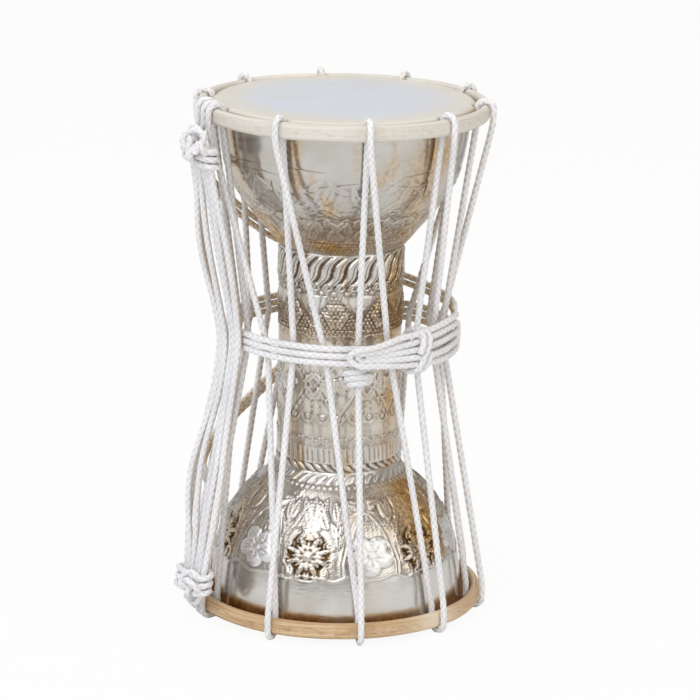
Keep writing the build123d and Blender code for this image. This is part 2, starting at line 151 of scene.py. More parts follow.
HITCH_FROM, HITCH_TO, HITCH_FINE = 0.06, 0.97, 220          # how much of the knot's round is drawn
HITCH_TAIL, HITCH_SHORT, HITCH_LEAN, TAIL_FINE = 11.0, 0.7, 0.8, 20

# Doubled cords behind, as angles and heights from the binding, and the small knot in front
BACK_STEP, BACK_FINE = 3.9, 40
PART_ANGLE = 160
LOWER_BACK_TAIL = ((54.5, 181.5, 141.5), (52.5, 180.8, 146.0), (51.5, 180.6, 150.0))
UPPER_BACK = ((87, 10.4), (104, 11.2), (124, 12.2), (152, 16), (180, 23), (208, 34), (225, 46),
              (240, 60), (256, 75), (267, 82), (276, 85), (285, 84.5), (293.5, 82))
LOWER_BACK = ((184, -13), (196, -23), (210, -38), (226, -52), (244, -63), (262, -70),
              (276, -74), (285, -76), (292, -76.5))
KNOT_Z, KNOT_R, KNOT_STEP = 136.3, 3.7, 0.8
KNOT_TUCK, KNOT_TUCK_RUN = 0.35, 0.35           # how far in the ends go, over how much of a turn
KNOT_COILS = ((3.6, 0.0, 3), (1.6, 0.4, 2))     # reach, start and turns


# Chasing, in heights along the wall from its joint or, on the waist tube, from the floor.
# A leaf is: angle of its first copy, x and y of its foot, way it points, length, half width, bend.
# A gold patch, both wear of the plate and painted warm reflection, is: share of gold, angle, width.
def pair(turn_at, x, y, turn, long, wide, bend):
    """A leaf and its mirror image on the other side of the motif's middle."""
    return (turn_at, x, y, turn, long, wide, bend), (turn_at, -x, y, -turn, long, wide, -bend)


VEIN_GAP = 1.9
BOWL_WALL, BOWL_BLACK = 92, 0.55
BOWL_PIPS, BOWL_BEADS, BOWL_BUSHES, BOWL_SPRAYS = 110, 100, 20, 9      # copies round the bowl
BOWL_PIP = 1.7
BOWL_LEAVES = ((0, 0.0, 11.5, 34, 11, 3.0, 1.5), (9, 0.0, 11.5, -34, 11, 3.0, -1.5),
               (4, 0.5, 15.5, 12, 11, 2.6, 1.0), (13, -0.5, 18, -48, 10, 2.6, -2.0),
               (0, 0.0, 19, 55, 10, 2.4, 2.0), (8, 1.0, 21, 0, 8, 2.2, 0.5))
BOWL_STEMS = ((0, 0, 29, 62, 17, 3.2, 4), (20, 0, 31, -58, 18, 3.0, -4), (10, 2, 36, 38, 18, 3.4, 4),
              (30, 0, 38, -30, 17, 3.2, -3), (0, 4, 46, 70, 15, 2.2, 5), (24, -3, 47, -66, 14, 2.2, -4))
BOWL_SCORES = ((51, 5), (55, 4), (60, 3))                               # height and waves
BOWL_HEIGHTS = {"pips": 0.32, "beads": 0.35, "leaves": 0.62, "stems": 0.5, "scrolls": 0.4,
                "cut": -0.3, "scores": -0.26, "rough": 0.05}
# Gold on the right of the bowl and in a streak: painted warm reflection together with wear
BOWL_RIGHT, BOWL_STREAK = (0.8, 48, 14), (0.7, -22, 3)
BOWL_WEAR_AND_REFLECTION = ((0.7, -62, 9), (0.6, 150, 16), (0.6, 225, 12))

TONGUES, SHIELDS, LOZENGES, SEEDS, DOTS = 30, 8, 7, 90, 92              # copies round the waist
SCALLOPS, ZIGZAGS, FLUTES, SLANTS = 24, 34, 33, 40
TONGUE_Z, SHIELD_Z, LOZENGE_Z, SEED_PITCH = 178, 171, 125.5, 1.9
WAIST_BLACK = 0.9
BLOOM_AT, SPRIG_AT, BUD_AT = 41, 18, 27
WAIST_SPRIGS = (*pair(BLOOM_AT, 0, 157, 48, 9, 2.0, 1), (SPRIG_AT, 0, 150, 0, 9, 2.4, 0),
                *pair(SPRIG_AT, 0, 151, 60, 8, 1.8, 1))
WAIST_BUDS = (*pair(BUD_AT, 0, 118, 40, 9, 2.3, 1), *pair(BUD_AT, 0, 132, 140, 9, 2.0, 1))
WAIST_HEIGHTS = {"tongues": 0.95, "feet": 0.62, "shields": 0.42, "seeds": 0.42, "blooms": 0.6,
                 "sprigs": 0.5, "lozenges": 0.3, "dots": 0.42, "crossing": 0.55, "chain": 0.5,
                 "zigzag": 0.45, "flutes": 0.28, "border": 0.7, "rims": 0.35, "rough": 0.03}
WAIST_WEAR_AND_REFLECTION = ((0.8, 58, 19), (0.6, 170, 20), (0.6, 255, 14))

BELL_WALL = 96
BELL_SIDES, BELL_BUDS, BELL_BEADS, BELL_GAPS = 6, 42, 72, 12            # copies round the bell
BROAD_AT, ROSE_AT, GAP_AT = 17, -14, 1.5
BELL_FEATHERS = ((ROSE_AT, 0, 38, 180, 25, 4.6, 0), (BROAD_AT, 0, 20, 180, 11, 3.0, 0),
                 *pair(ROSE_AT, 3, 37, 152, 25, 4.8, -3), *pair(ROSE_AT, 7, 39, 122, 17, 3.6, -3),
                 *pair(ROSE_AT, 9, 31, 150, 18, 3.4, -2), *pair(BROAD_AT, 3, 20, 120, 14, 3.2, 3),
                 *pair(BROAD_AT, 6, 23, 105, 13, 2.6, 3))
BELL_BETWEEN = ((GAP_AT, 0, 42, 180, 17, 2.4, 0), *pair(GAP_AT, 1, 38, 150, 13, 2.4, -2),
                (GAP_AT, 0, 27, 165, 13, 2.6, -1.5), (GAP_AT, 0, 27, 198, 13, 2.6, 1.5))
BELL_HANGING = tuple((ROSE_AT, k * 4.6, 53, 0, 9.5, 2.5, 0) for k in (-2, -1, 0, 1, 2))
BELL_HEIGHTS = {"buds": 0.6, "beads": 0.4, "arches": 0.5, "reeds": 0.16, "broad": 0.95, "ground": -0.9,
                "rose": 1.0, "scrolls": 0.5, "hanging": 0.7, "feathers": 1.05, "hem": 0.5,
                "rough": 0.05, "crinkled": 0.07}
BELL_WEAR_AND_REFLECTION = ((0.9, 54, 20), (0.5, -66, 10), (0.6, 140, 18), (0.6, 235, 16))

# Light and view, in metres: name, place, aim, width, power and colour of each soft box
LAMPS = (("key", (-0.9, -1.3, 1.5), (0, 0, 0.15), 2.6, 27.0, (1, 1, 1)),
         ("fill", (1.3, -1.2, 0.9), (0, 0, 0.14), 1.6, 8.0, (1.0, 0.97, 0.92)),
         ("top", (0.1, 0.3, 1.7), (0, 0, 0.2), 1.8, 9.0, (1, 1, 1)))
FLOOR_HALF, FLOOR_WHITE, ROOM_LIGHT = 6, 0.93, 0.62
ROOM_TONES = ((0.0, (0.35, 0.32, 0.27, 1)), (0.07, 0.95), (0.2, 1.0), (0.25, (0.3, 0.28, 0.25, 1)),
              (0.3, 1.0), (0.52, (0.86, 0.85, 0.83, 1)), (0.66, (0.8, 0.76, 0.7, 1)),
              (0.72, (0.34, 0.25, 0.14, 1)), (0.79, (0.62, 0.48, 0.3, 1)), (0.84, (1.0, 0.97, 0.92, 1)),
              (0.95, (0.9, 0.86, 0.8, 1)), (1.0, (0.3, 0.26, 0.2, 1)))   # from left to right
VIEW_LENS, VIEW_SENSOR, VIEW_TIP = 176.12, 36.0, math.radians(1.0847)
VIEW_AT, VIEW_AIM = (0, -1.732344, 0.595859), (0.005409, 0, 0.136937)


# Small shapes of the chasing, all smooth functions of distances in millimetres
def polar(radius, angle, z):
    """Points at a radius and an angle from the front: (r sin a, -r cos a, z)."""
    a = np.radians(angle)
    r, a, z = np.broadcast_arrays(np.asarray(radius, float), a, np.asarray(z, float))
    return np.stack([r * np.sin(a), -r * np.cos(a), z], -1)


def step(low, high, x):
    """Smooth rise from 0 at low to 1 at high: 3t^2 - 2t^3."""
    t = np.clip((x - low) / (high - low), 0, 1)
    return t * t * (3 - 2 * t)


def band(low, high, x, soft):
    """1 between low and high, falling to 0 over a soft edge on both sides."""
    return step(low - soft, low + soft, x) * (1 - step(high - soft, high + soft, x))


def repeat(angle, count, radius, shift=0.0):
    """Distance along the girth from the nearest of count copies, shifted by a share of a copy."""
    turn = angle / 360 * count - shift
    return (turn - np.round(turn)) * TAU * radius / count


def near(angle, at, wide):
    """A soft patch round the girth: exp(-(angle from it / wide)^2)."""
    return np.exp(-(((angle - at + 180) % 360 - 180) / wide) ** 2)


def wear_and_reflection(angle, *patches):
    """Gold, partly wear of the plate and partly painted warm reflection: the sum of soft patches round
    the girth.
    """
    return sum(share * near(angle, at, wide) for share, at, wide in patches)


def ridge(d, width):
    """A rounded line: exp(-(d / width)^2)."""
    return np.exp(-(d / width) ** 2)


def bead(x, y, r):
    """A round bead: a half ball of radius r, as a share of its height."""
    return np.sqrt(np.clip(1 - (x * x + y * y) / (r * r), 0, 1))


def leaf(x, y, long, wide, bend):
    """A raised leaf from y = 0 to its tip at y = long: a dome over a pointed oval, with a sunk
    midrib along x = bend (y / long)^2 and sunk side veins that slant towards the tip."""
    t = np.clip(y / long, 0, 1)
    side = x - bend * t * t
    half = wide * np.sin(np.pi * t ** 0.75) ** 0.8 + 1e-6
    dome = np.sqrt(np.clip(1 - (side / half) ** 2, 0, 1)) * (y > 0) * (y < long)
    grooves = 0.3 * (0.5 + 0.5 * np.cos((y - 0.9 * np.abs(side)) / VEIN_GAP * TAU))
    return dome * (1 - grooves) - 0.5 * ridge(side, 0.5) * (dome > 0.02)


def flower(x, y, r, petals, turn=0.0):
    """A rosette: petals as a dome over r (0.64 + 0.36 cos(n a)), with a bead in the middle."""
    d, a = np.hypot(x, y), np.arctan2(y, x) + turn
    edge = r * (0.64 + 0.36 * np.cos(petals * a))
    dome = np.sqrt(np.clip(1 - (d / edge) ** 2, 0, 1))
    return np.maximum(dome * step(0.18 * r, 0.5 * r, d), 1.25 * bead(x, y, 0.3 * r))


def blossom(x, y, r, petals):
    """Broad smooth petals: each a dome round its own middle, set in a ring, with a seeded eye."""
    d, a = np.hypot(x, y), np.arctan2(y, x)
    turn = a * petals / TAU
    aside = (turn - np.round(turn)) * TAU / petals
    px, py = d * np.cos(aside) - 0.58 * r, d * np.sin(aside)
    petal = np.sqrt(np.clip(1 - (px / (0.5 * r)) ** 2 - (py / (0.46 * r)) ** 2, 0, 1))
    eye = bead(x, y, 0.24 * r) * (0.8 + 0.2 * np.cos(6 * a) * np.cos(d * 4))
    return np.maximum(petal - 0.25 * ridge(py, 0.05 * r) * (px < 0), eye)


def curl(x, y, r, hand=1):
    """A scroll: a ridge along a spiral that winds in one and a half turns, to either hand."""
    d, a = np.hypot(x, y), np.arctan2(y, hand * x)
    winds = d / r * 1.5 - a / TAU
    return ridge((winds - np.round(winds)) * r / 1.5, 0.17 * r) * (d < r)


def stamp(angle, y, radius, count, turn_at, at_x, at_y, turn=0.0):
    """Place in the nearest of count copies of a motif set round from turn_at degrees: x along the
    girth and y across it from the motif's own middle, turned by an angle."""
    x, y = repeat(angle, count, radius, turn_at / 360 * count) - at_x, y - at_y
    c, s = math.cos(math.radians(turn)), math.sin(math.radians(turn))
    return c * x + s * y, c * y - s * x


def bush(angle, y, radius, count, leaves):
    """Leaves laid over one another in count copies round the girth: the highest one shows."""
    total = np.zeros(np.broadcast(angle, y).shape)
    for turn_at, at_x, at_y, turn, long, wide, bend in leaves:
        place = stamp(angle, y, radius, count, turn_at, at_x, at_y, turn)
        total = np.maximum(total, leaf(*place, long, wide, bend))
    return total


def raised(heights, **forms):
    """Relief of a wall: the sum of its forms, each times its height in millimetres."""
    return sum(heights[name] * form for name, form in forms.items())


def spread(field, rows, columns):
    """Mean of a field over a window, wrapped round the girth, by shifted sums."""
    total = sum(np.roll(field, k, 1) for k in range(-columns, columns + 1)) / (2 * columns + 1)
    padded = np.pad(total, ((rows, rows), (0, 0)), "edge")
    return sum(padded[k:k + len(field)] for k in range(2 * rows + 1)) / (2 * rows + 1)


def noise(seed, shape, cells, waves=14):
    """Smooth random field: waves of random turn and phase, cells of them along each side."""
    rng = np.random.default_rng(seed)
    u = np.linspace(0, TAU, shape[1], endpoint=False)[None, :]
    v = np.linspace(0, TAU, shape[0])[:, None]
    total = np.zeros(shape)
    for _ in range(waves):
        total += np.cos(rng.integers(1, cells + 1) * u + rng.integers(-cells, cells + 1) * v
                        + rng.uniform(0, TAU))
    return total / waves ** 0.5


# Meshes
def gather(name, patches, finish, body, stands_for):
    """One mesh from patches of points on grids. A patch has points[i, j], uv[i, j] and marks; it is
    closed round j, and its first and last rows are closed with a fan if their caps are wanted."""
    verts, uvs, corners, totals, marks, start = [], [], [], [], {}, 0
    for patch in patches:
        p = patch["points"]
        n, m = p.shape[:2]
        index = start + np.arange(n * m).reshape(n, m)
        wrap = np.concatenate([index, index[:, :1]], 1)
        uv = np.concatenate([patch["uv"], patch["uv"][:, :1] + np.array([0.0, 1.0])], 1)
        square = np.s_[:-1, :-1], np.s_[:-1, 1:], np.s_[1:, 1:], np.s_[1:, :-1]
        corners.append(np.stack([wrap[k] for k in square], -1).reshape(-1))
        uvs.append(np.stack([uv[k] for k in square], -2).reshape(-1, 2))
        totals.append(np.full((n - 1) * m, 4))
        points = [p.reshape(-1, 3)]
        values = {k: [np.asarray(v, float).reshape(-1)] for k, v in patch["marks"].items()}
        used = n * m
        for row, wanted in zip((0, n - 1), patch.get("caps", (1, 1))):
            if not wanted:
                continue
            points.append(p[row].mean(0)[None])
            for k in values:
                values[k].append(np.array([np.asarray(patch["marks"][k])[row].mean()]))
            ring, mid = wrap[row], np.full(m, start + used)
            order = (mid, ring[1:], ring[:-1]) if row == 0 else (mid, ring[:-1], ring[1:])
            corners.append(np.stack(order, -1).reshape(-1))
            uvs.append(np.repeat(uv[row, :-1], 3, 0))
            totals.append(np.full(m, 3))
            used += 1
        verts.append(np.concatenate(points))
        for k, v in values.items():
            marks.setdefault(k, []).append(np.concatenate(v))
        start += used
    verts, corners = np.concatenate(verts) * 0.001, np.concatenate(corners)
    totals, uvs = np.concatenate(totals), np.concatenate(uvs)
    mesh = bpy.data.meshes.new(name)
    mesh.vertices.add(len(verts))
    mesh.vertices.foreach_set("co", verts.astype(np.float32).ravel())
    mesh.loops.add(len(corners))
    mesh.loops.foreach_set("vertex_index", corners.astype(np.int32))
    mesh.polygons.add(len(totals))
    mesh.polygons.foreach_set("loop_start", (np.cumsum(totals) - totals).astype(np.int32))
    mesh.polygons.foreach_set("use_smooth", np.ones(len(totals), bool))
    mesh.update(calc_edges=True)
    mesh.uv_layers.new(name="along").data.foreach_set("uv", uvs.astype(np.float32).ravel())
    for k, v in marks.items():
        values = np.concatenate(v).astype(np.float32)
        mesh.attributes.new(k, "FLOAT", "POINT").data.foreach_set("value", values)
    mesh.validate()
    mesh.materials.append(finish)
    piece = bpy.data.objects.new(name, mesh)
    bpy.context.scene.collection.objects.link(piece)
    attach(piece, body)
    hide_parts(*stands_for)
    return piece


# Lines and cords
def unit(v):
    """Vectors of length 1 in the same directions."""
    return v / np.linalg.norm(v, axis=-1, keepdims=True)


def cubic(u, start, leave, end, arrive):
    """Cubic span from start to end, for u from 0 to 1, that leaves and arrives at given speeds."""
    return ((2 * u ** 3 - 3 * u ** 2 + 1) * start + (u ** 3 - 2 * u ** 2 + u) * leave
            + (3 * u ** 2 - 2 * u ** 3) * end + (u ** 3 - u ** 2) * arrive)


def bends(points, directions):
    """Smooth line through points along given directions: cubic spans whose end speeds are 1.1
    times the chord, so that a quarter turn comes out round."""
    p, t = np.asarray(points, float), unit(np.asarray(directions, float))
    p0, p1, t0, t1 = p[:-1, None], p[1:, None], t[:-1, None], t[1:, None]
    speed = BEND_SPEED * np.linalg.norm(p1 - p0, axis=-1, keepdims=True)
    u = (np.arange(BEND_FINE) / BEND_FINE)[None, :, None]
    line = cubic(u, p0, speed * t0, p1, speed * t1)
    return np.concatenate([line.reshape(-1, 3), p[-1:]])


def even(line):
    """The same line with points at even distances, and the length run at each."""
    run = np.concatenate([[0], np.cumsum(np.linalg.norm(np.diff(line, axis=0), axis=1))])
    marks = np.linspace(0, run[-1], max(4, int(run[-1] / CORD_STEP)))
    return np.stack([np.interp(marks, run, line[:, k]) for k in range(3)], 1), marks


def braided(line, stain):
    """A braided cord along a line. A ring of points is carried along it without twist, and its
    radius swells by the root of |cos(1.5v + ku) cos(1.5v - ku)|: strands that cross over and under
    each other. The side that faces the drum's axis is marked for painted shade, a tan tint that
    stands for shade and warm reflected light there; nothing goes below the floor."""
    p, run = even(line)
    t = unit(np.gradient(p, axis=0))
    lead = np.where(np.abs(t[:, 2:]) < 0.8, [[0.0, 0, 1]], [[1.0, 0, 0]])
    n = unit(lead - (lead * t).sum(1, keepdims=True) * t)
    b = np.cross(t, n)
    carried = n[:-1] - (n[:-1] * t[1:]).sum(1, keepdims=True) * t[1:]
    turn = np.arctan2((carried * b[1:]).sum(1), (carried * n[1:]).sum(1))
    turn = np.concatenate([[0], np.cumsum(turn)])[:, None]
    n, b = np.cos(turn) * n + np.sin(turn) * b, np.cos(turn) * b - np.sin(turn) * n
    v = np.arange(CORD_SIDES) / CORD_SIDES * TAU
    k = np.pi / BRAID_PITCH * run[:, None] + np.pi / 4
    lay = np.sqrt(np.abs(np.cos(BRAID_WINDS * v + k) * np.cos(BRAID_WINDS * v - k)))
    r = CORD_R * (1 - BRAID_DEEP + BRAID_FULL * BRAID_DEEP * lay)[..., None]
    out = np.cos(v)[:, None] * n[:, None] + np.sin(v)[:, None] * b[:, None]
    points = p[:, None] + r * out
    points[..., 2] = np.maximum(points[..., 2], FLOOR_GAP)
    axis_side = -(out * unit(p * np.array([1.0, 1, 0]))[:, None]).sum(-1)
    uv = np.stack(np.broadcast_arrays(run[:, None] / 10, v / TAU), -1)
    marks = {"lay": lay, "stained": stain * step(0.0, 0.7, axis_side)}
    return {"points": points, "uv": uv, "marks": marks}


def cord_piece(name, lines, body, stands_for, stain=SIDE_SHADE, flatten=False):
    """Braided cords along one or more lines, as one piece."""
    patches = [braided(line, stain) for line in lines]
    piece = gather(name, patches, cord_finish, body, stands_for)
    if flatten:
        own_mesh(piece)
    return piece


def hoop_loop(end, angle):
    """Up one side of a hoop, half round its edge, down the other side."""
    a = np.linspace(0, np.pi, LOOP_FINE)
    arc = polar(end.mid_r + LOOP_R * np.cos(a), angle, end.turn_z + end.side * LOOP_R * np.sin(a))
    foot_z = end.far_z + end.side * LOOP_TUCK
    return np.concatenate([polar([end.outer], angle, foot_z), arc, polar([end.inner], angle, foot_z)])


def lace(end, hoop_r, hoop_angle, waist_angle):
    """From the loop's end, bent over a few millimetres into a straight run to the waist."""
    top = polar(hoop_r, hoop_angle, end.far_z + end.side * LACE_TUCK)
    corner = polar(hoop_r, hoop_angle, end.far_z - end.side * LACE_CORNER)
    foot = polar(LACE_WAIST_R, waist_angle, BINDING_Z - end.side * LACE_FOOT)
    after = corner + LACE_BEND * unit(foot - corner)
    u = np.linspace(0, 1, LACE_FINE)[:, None]
    bend = (1 - u) ** 2 * top + 2 * u * (1 - u) * corner + u * u * after
    return np.concatenate([bend, foot[None]])


def binding_line(turn):
    """A screw line round the laces that goes down as it winds."""
    return polar(BINDING_R, BINDING_END + 360 * turn, BINDING_Z + LAYER * (TURNS / 2 - turn))


def hank_line(runs, spacing, half_length, place):
    """A flat spiral of long loops whose runs are spacing(s) apart; place(s, v, run) puts it on the
    drum, s along the hank and v across it, run the number of the strand (none in a fold)."""
    line = []
    for i in range(runs):
        side = 1 if i % 2 == 0 else -1
        n = (0.5 + i // 2) * side
        s = side * np.linspace(-half_length, half_length, RUN_FINE)
        line.append(place(s, n * spacing(s), i))
        if i < runs - 1:
            wide = spacing(side * half_length)
            a, b = n * wide, (0.5 + (i + 1) // 2) * -side * wide
            turn = np.linspace(0, np.pi, HANK_FOLD_FINE)[1:-1]
            fold_r = abs(a - b) / 2
            line.append(place(side * (half_length + fold_r * np.sin(turn)),
                              (a + b) / 2 + side * fold_r * np.cos(turn), None))
    return np.concatenate(line)


def tuck_spacing(s):
    """Close together at the left end, fanned out at the right by the square of the way along."""
    return TUCK_PINCH + (TUCK_STEP - TUCK_PINCH) * ((s / TUCK_HALF + 1) / 2) ** 2


def tuck_place(s, v, run):
    """On the binding; each strand bows out and sways a little by sines of its own. Towards the left
    end they draw together to a point, the outer ones over the inner ones."""
    share = s / TUCK_HALF
    along = np.clip(share, -1, 1)
    left = step(TUCK_POINT_FROM, TUCK_POINT_TO, share)
    over = TUCK_OVER * left * np.abs(v) / (TUCK_RUNS / 2 * TUCK_PINCH)
    v = v * (1 - TUCK_POINT * left)
    out = 0.0 if run is None else TUCK_BOWS[run] * np.cos(np.pi / 2 * along) ** 2
    sway = 0.0 if run is None else TUCK_SWAYS[run] * np.sin(np.pi * along)
    return polar(TUCK_R + out + over, TUCK_MID + np.degrees(s / TUCK_R),
                 BINDING_Z + v + TUCK_RISE * share + sway)


def wrap_line():
    """Turns round the binding and the tucked hank together: a rounded oval |c|^3 + |s|^3 = 1 in
    the plane through the axis, that leans and moves on as it winds."""
    t = np.linspace(0, WRAP_TURNS, WRAP_FINE * WRAP_TURNS)
    c, s = np.cos(TAU * t), np.sin(TAU * t)
    square = (np.abs(c) ** 3 + np.abs(s) ** 3) ** (-1 / 3)
    return polar((WRAP_IN + WRAP_OUT) / 2 + (WRAP_OUT - WRAP_IN) / 2 * c * square,
                 WRAP_AT + WRAP_STEP * (t - WRAP_TURNS / 2) + WRAP_LEAN * s,
                 BINDING_Z + WRAP_TALL * s * square)


HANK_FACE = (HANK_ANGLE + HANK_END_ANGLE) / 2
HANK_ACROSS, HANK_OUT = polar(1, HANK_FACE + 90, 0), polar(1, HANK_FACE, 0)


def hank_middle(z):
    """Straight legs from the ends to a round bend over the binding."""
    z = np.asarray(z, float)
    end_z = np.where(z > BINDING_Z, UPPER.hank_z, LOWER.hank_z)
    end_r = np.where(z > BINDING_Z, UPPER.hank_r, LOWER.hank_r)
    share = (np.hypot(z - BINDING_Z, HANK_BEND) - HANK_BEND) / np.abs(end_z - BINDING_Z)
    return polar(HANK_MID_R + (end_r - HANK_MID_R) * share,
                 HANK_ANGLE + (HANK_END_ANGLE - HANK_ANGLE) * share, z)


def hank_spacing(s):
    """Drawn in at the middle by exp(-(2.2 s / half)^2)."""
    return HANK_STEP + (HANK_PINCH - HANK_STEP) * np.exp(-(HANK_PINCH_SHARP * s / HANK_HALF) ** 2)


def hank_place(s, v, run):
    """Down the left side; each strand hangs out by a bow of its own, sin^2 between the binding and
    the ties and fuller below, sways along the sheet and fans out a little, and every second one
    lies over its neighbours at the binding by exp(-(height / 26)^2)."""
    share = np.clip(s / HANK_HALF, -1, 1)
    if run is None:
        bow, sway = np.zeros(len(s)), np.zeros(len(s))
    else:
        hang = np.sin(np.pi * share) ** 2 * np.where(share < 0, HANK_SLACK_LOW, HANK_SLACK_TOP)
        over = HANK_OVER * (run % 2) * np.exp(-((HANK_MID + s - BINDING_Z) / HANK_OVER_TALL) ** 2)
        bow = HANK_BOWS[run] * hang + over
        sway = HANK_SWAYS[run] * np.sin(np.pi * share) * np.sin(HANK_WAVES * np.pi * share + run)
        sway = sway + v * HANK_FAN * hang
    return hank_middle(HANK_MID + s) + (v + sway)[:, None] * HANK_ACROSS + bow[:, None] * HANK_OUT


def tie_line(end):
    """A leg over the hoop, flat turns round the hank's end, a leg back over the hoop."""
    side = end.side
    z = end.hank_z - side * TIE_IN
    wide = (HANK_RUNS - 1) / 2 * HANK_STEP + LAYER + TIE_SLACK
    deep = LAYER + TIE_SLACK
    up = side * UP

    def turns(t):
        """Rounded ovals |c|^4 + |s|^4 = 1 round the hank, one under the other."""
        level = z - side * TIE_STEP * (t - TIE_TURNS / 2)
        c, s = -np.cos(TAU * t), np.sin(TAU * t)
        square = ((np.abs(c) ** 4 + np.abs(s) ** 4) ** -0.25)[:, None]
        return (hank_middle(level)
                + (wide * c[:, None] * HANK_ACROSS + deep * s[:, None] * HANK_OUT) * square)

    def leg(angle):
        """Up inside the hoop, over its edge in four eighths of a circle and down outside."""
        q = LOOP_R * math.sin(math.pi / 4)
        out = polar(1, angle, 0)
        across = np.array([-LOOP_R, -LOOP_R, -q, 0, q, LOOP_R, LOOP_R])
        rise = side * np.array([0, 0, q, LOOP_R, q, 0, 0])
        level = np.array([end.far_z] + 5 * [end.turn_z] + [end.far_z])
        return polar(end.mid_r + across, angle, level + rise), np.array(
            [up, up, unit(up + out), out, unit(out - up), -up, -up])

    full = TIE_TURNS - 0.25
    last_point = TIE_FINE * TIE_TURNS - 2
    t = full * np.arange(last_point + 1) / last_point
    wound, along = turns(t), unit(turns(t + 1e-4) - turns(t - 1e-4))
    middle = hank_middle(z - side * TIE_STEP * (full - TIE_TURNS / 2)) - HANK_OUT * (deep + TIE_SLACK)
    way = np.array([middle - HANK_ACROSS * wide,
                    middle - HANK_ACROSS * (wide + LAYER + TIE_SLACK) + up * TIE_SWING])
    first, first_along = leg(TIE_ANGLES[0])
    last, last_along = leg(TIE_ANGLES[1])
    return bends(np.concatenate([first, wound, way, last[::-1]]),
                 np.concatenate([first_along, along, [-HANK_ACROSS, up], -last_along[::-1]]))


def hitch_line(end):
    """A drawn-up overhand knot on the front of a tie: (2 + cos 3t) round 2t with sin 3t through it,
    pressed flat against the hank, with both ends left hanging."""
    turn, size = end.hitch
    t = np.linspace(HITCH_FROM, HITCH_TO, HITCH_FINE) * TAU + math.radians(turn)
    a = size * (2 + np.cos(3 * t)) / 3
    across, tall = a * np.cos(2 * t), HITCH_TALL * a * np.sin(2 * t)
    out = HITCH_DEEP * size * np.sin(3 * t)
    middle = hank_middle(end.hank_z + HITCH_RISE) + HANK_OUT * HITCH_LIFT + HANK_ACROSS * HITCH_ASIDE
    knot = middle + across[:, None] * HANK_ACROSS + tall[:, None] * UP + out[:, None] * HANK_OUT
    fade = np.linspace(1, 0, TAIL_FINE)[:-1, None] ** 1.5
    first = knot[0] + fade * (HITCH_LEAN * (knot[0] - knot[8]) - HITCH_TAIL * UP)
    last = knot[-1] + fade * (HITCH_LEAN * (knot[-1] - knot[-9]) - HITCH_SHORT * HITCH_TAIL * UP)
    return np.concatenate([first, knot, last[::-1]])


def lace_r(z):
    """Radius of the outer laces at a height: straight from the waist to each hoop."""
    up = (z - BINDING_Z) / (UPPER.far_z - LOOP_BREAK - BINDING_Z)
    down = (BINDING_Z - z) / (BINDING_Z - LOWER.far_z - LOOP_BREAK)
    return LACE_WAIST_R + np.where(z > BINDING_Z, (UPPER.outer - LACE_WAIST_R) * up,
                                   (LOWER.outer - LACE_WAIST_R) * down)


def doubled_line(stops, lift, first, last):
    """Out along one strand, round a fold and back along the other, to an end that is tucked in;
    the middle line runs through the stops without a kink, by cubic spans whose slope at a stop
    joins its neighbours."""
    stops = np.asarray(stops, float)
    ends = np.concatenate([[2 * stops[0] - stops[1]], stops, [2 * stops[-1] - stops[-2]]])
    u = np.linspace(0, len(stops) - 1, BACK_FINE * (len(stops) - 1) + 1)
    i = np.minimum(u.astype(int), len(stops) - 2)
    a, b, c, d = ends[i], ends[i + 1], ends[i + 2], ends[i + 3]
    angle, height = cubic((u - i)[:, None], b, (c - a) / 2, c, (d - b) / 2).T
    line = polar(lace_r(BINDING_Z + height + lift) + LAYER, angle, BINDING_Z + height)
    ahead = unit(np.gradient(line, axis=0))
    beside = unit(np.cross(ahead, polar(1, angle, 0))) * BACK_STEP / 2
    turn = np.linspace(0, np.pi, FOLD_FINE)[1:-1, None]
    fold = line[-1] + beside[-1] * np.cos(turn) + ahead[-1] * BACK_STEP / 2 * np.sin(turn)
    return np.concatenate([first[None], line + beside, fold, (line - beside)[::-1], last])


def knot_line(reach, start, turns):
    """Turns round the lace in front, just under the binding; wider than deep, and wider from turn
    to turn upwards, so that they lie as one drop; both ends go in to the lace."""
    lace_from = polar(LOWER.outer, LACE_START, LOWER.far_z + LOOP_BREAK)
    axis = unit(polar(LACE_WAIST_R, LACE_START, BINDING_Z) - lace_from)
    x = polar(1, LACE_START + 90, 0)
    y = np.cross(axis, x)
    t = np.linspace(0, turns, KNOT_FINE * turns)[:, None]
    middle = polar(lace_r(KNOT_Z), LACE_START, KNOT_Z)
    inward = KNOT_TUCK + (1 - KNOT_TUCK) * step(0, KNOT_TUCK_RUN, t) * step(
        0, KNOT_TUCK_RUN, turns - t)
    wide = KNOT_R + reach * (t / turns) ** 0.8
    return (middle + inward * (wide * np.cos(TAU * t) * x + KNOT_R * np.sin(TAU * t) * y)
            + LAYER * (start + (t - turns / 2) * KNOT_STEP) * axis)


# Finishes
def linear(*rgb):
    """A colour as it is seen, 0 to 255, as light."""
    c = np.array(rgb) / 255
    return tuple(np.where(c <= 0.04045, c / 12.92, ((c + 0.055) / 1.055) ** 2.4)) + (1.0,)


def lay_stops(ramp, stops):
    """Set the stops of a colour ramp, each a place and a colour or grey."""
    bar = ramp.color_ramp.elements
    while len(bar) < len(stops):
        bar.new(0.5)
    for stop, (at, colour) in zip(bar, stops):
        stop.position = at
        stop.color = colour if isinstance(colour, tuple) else (colour, colour, colour, 1)


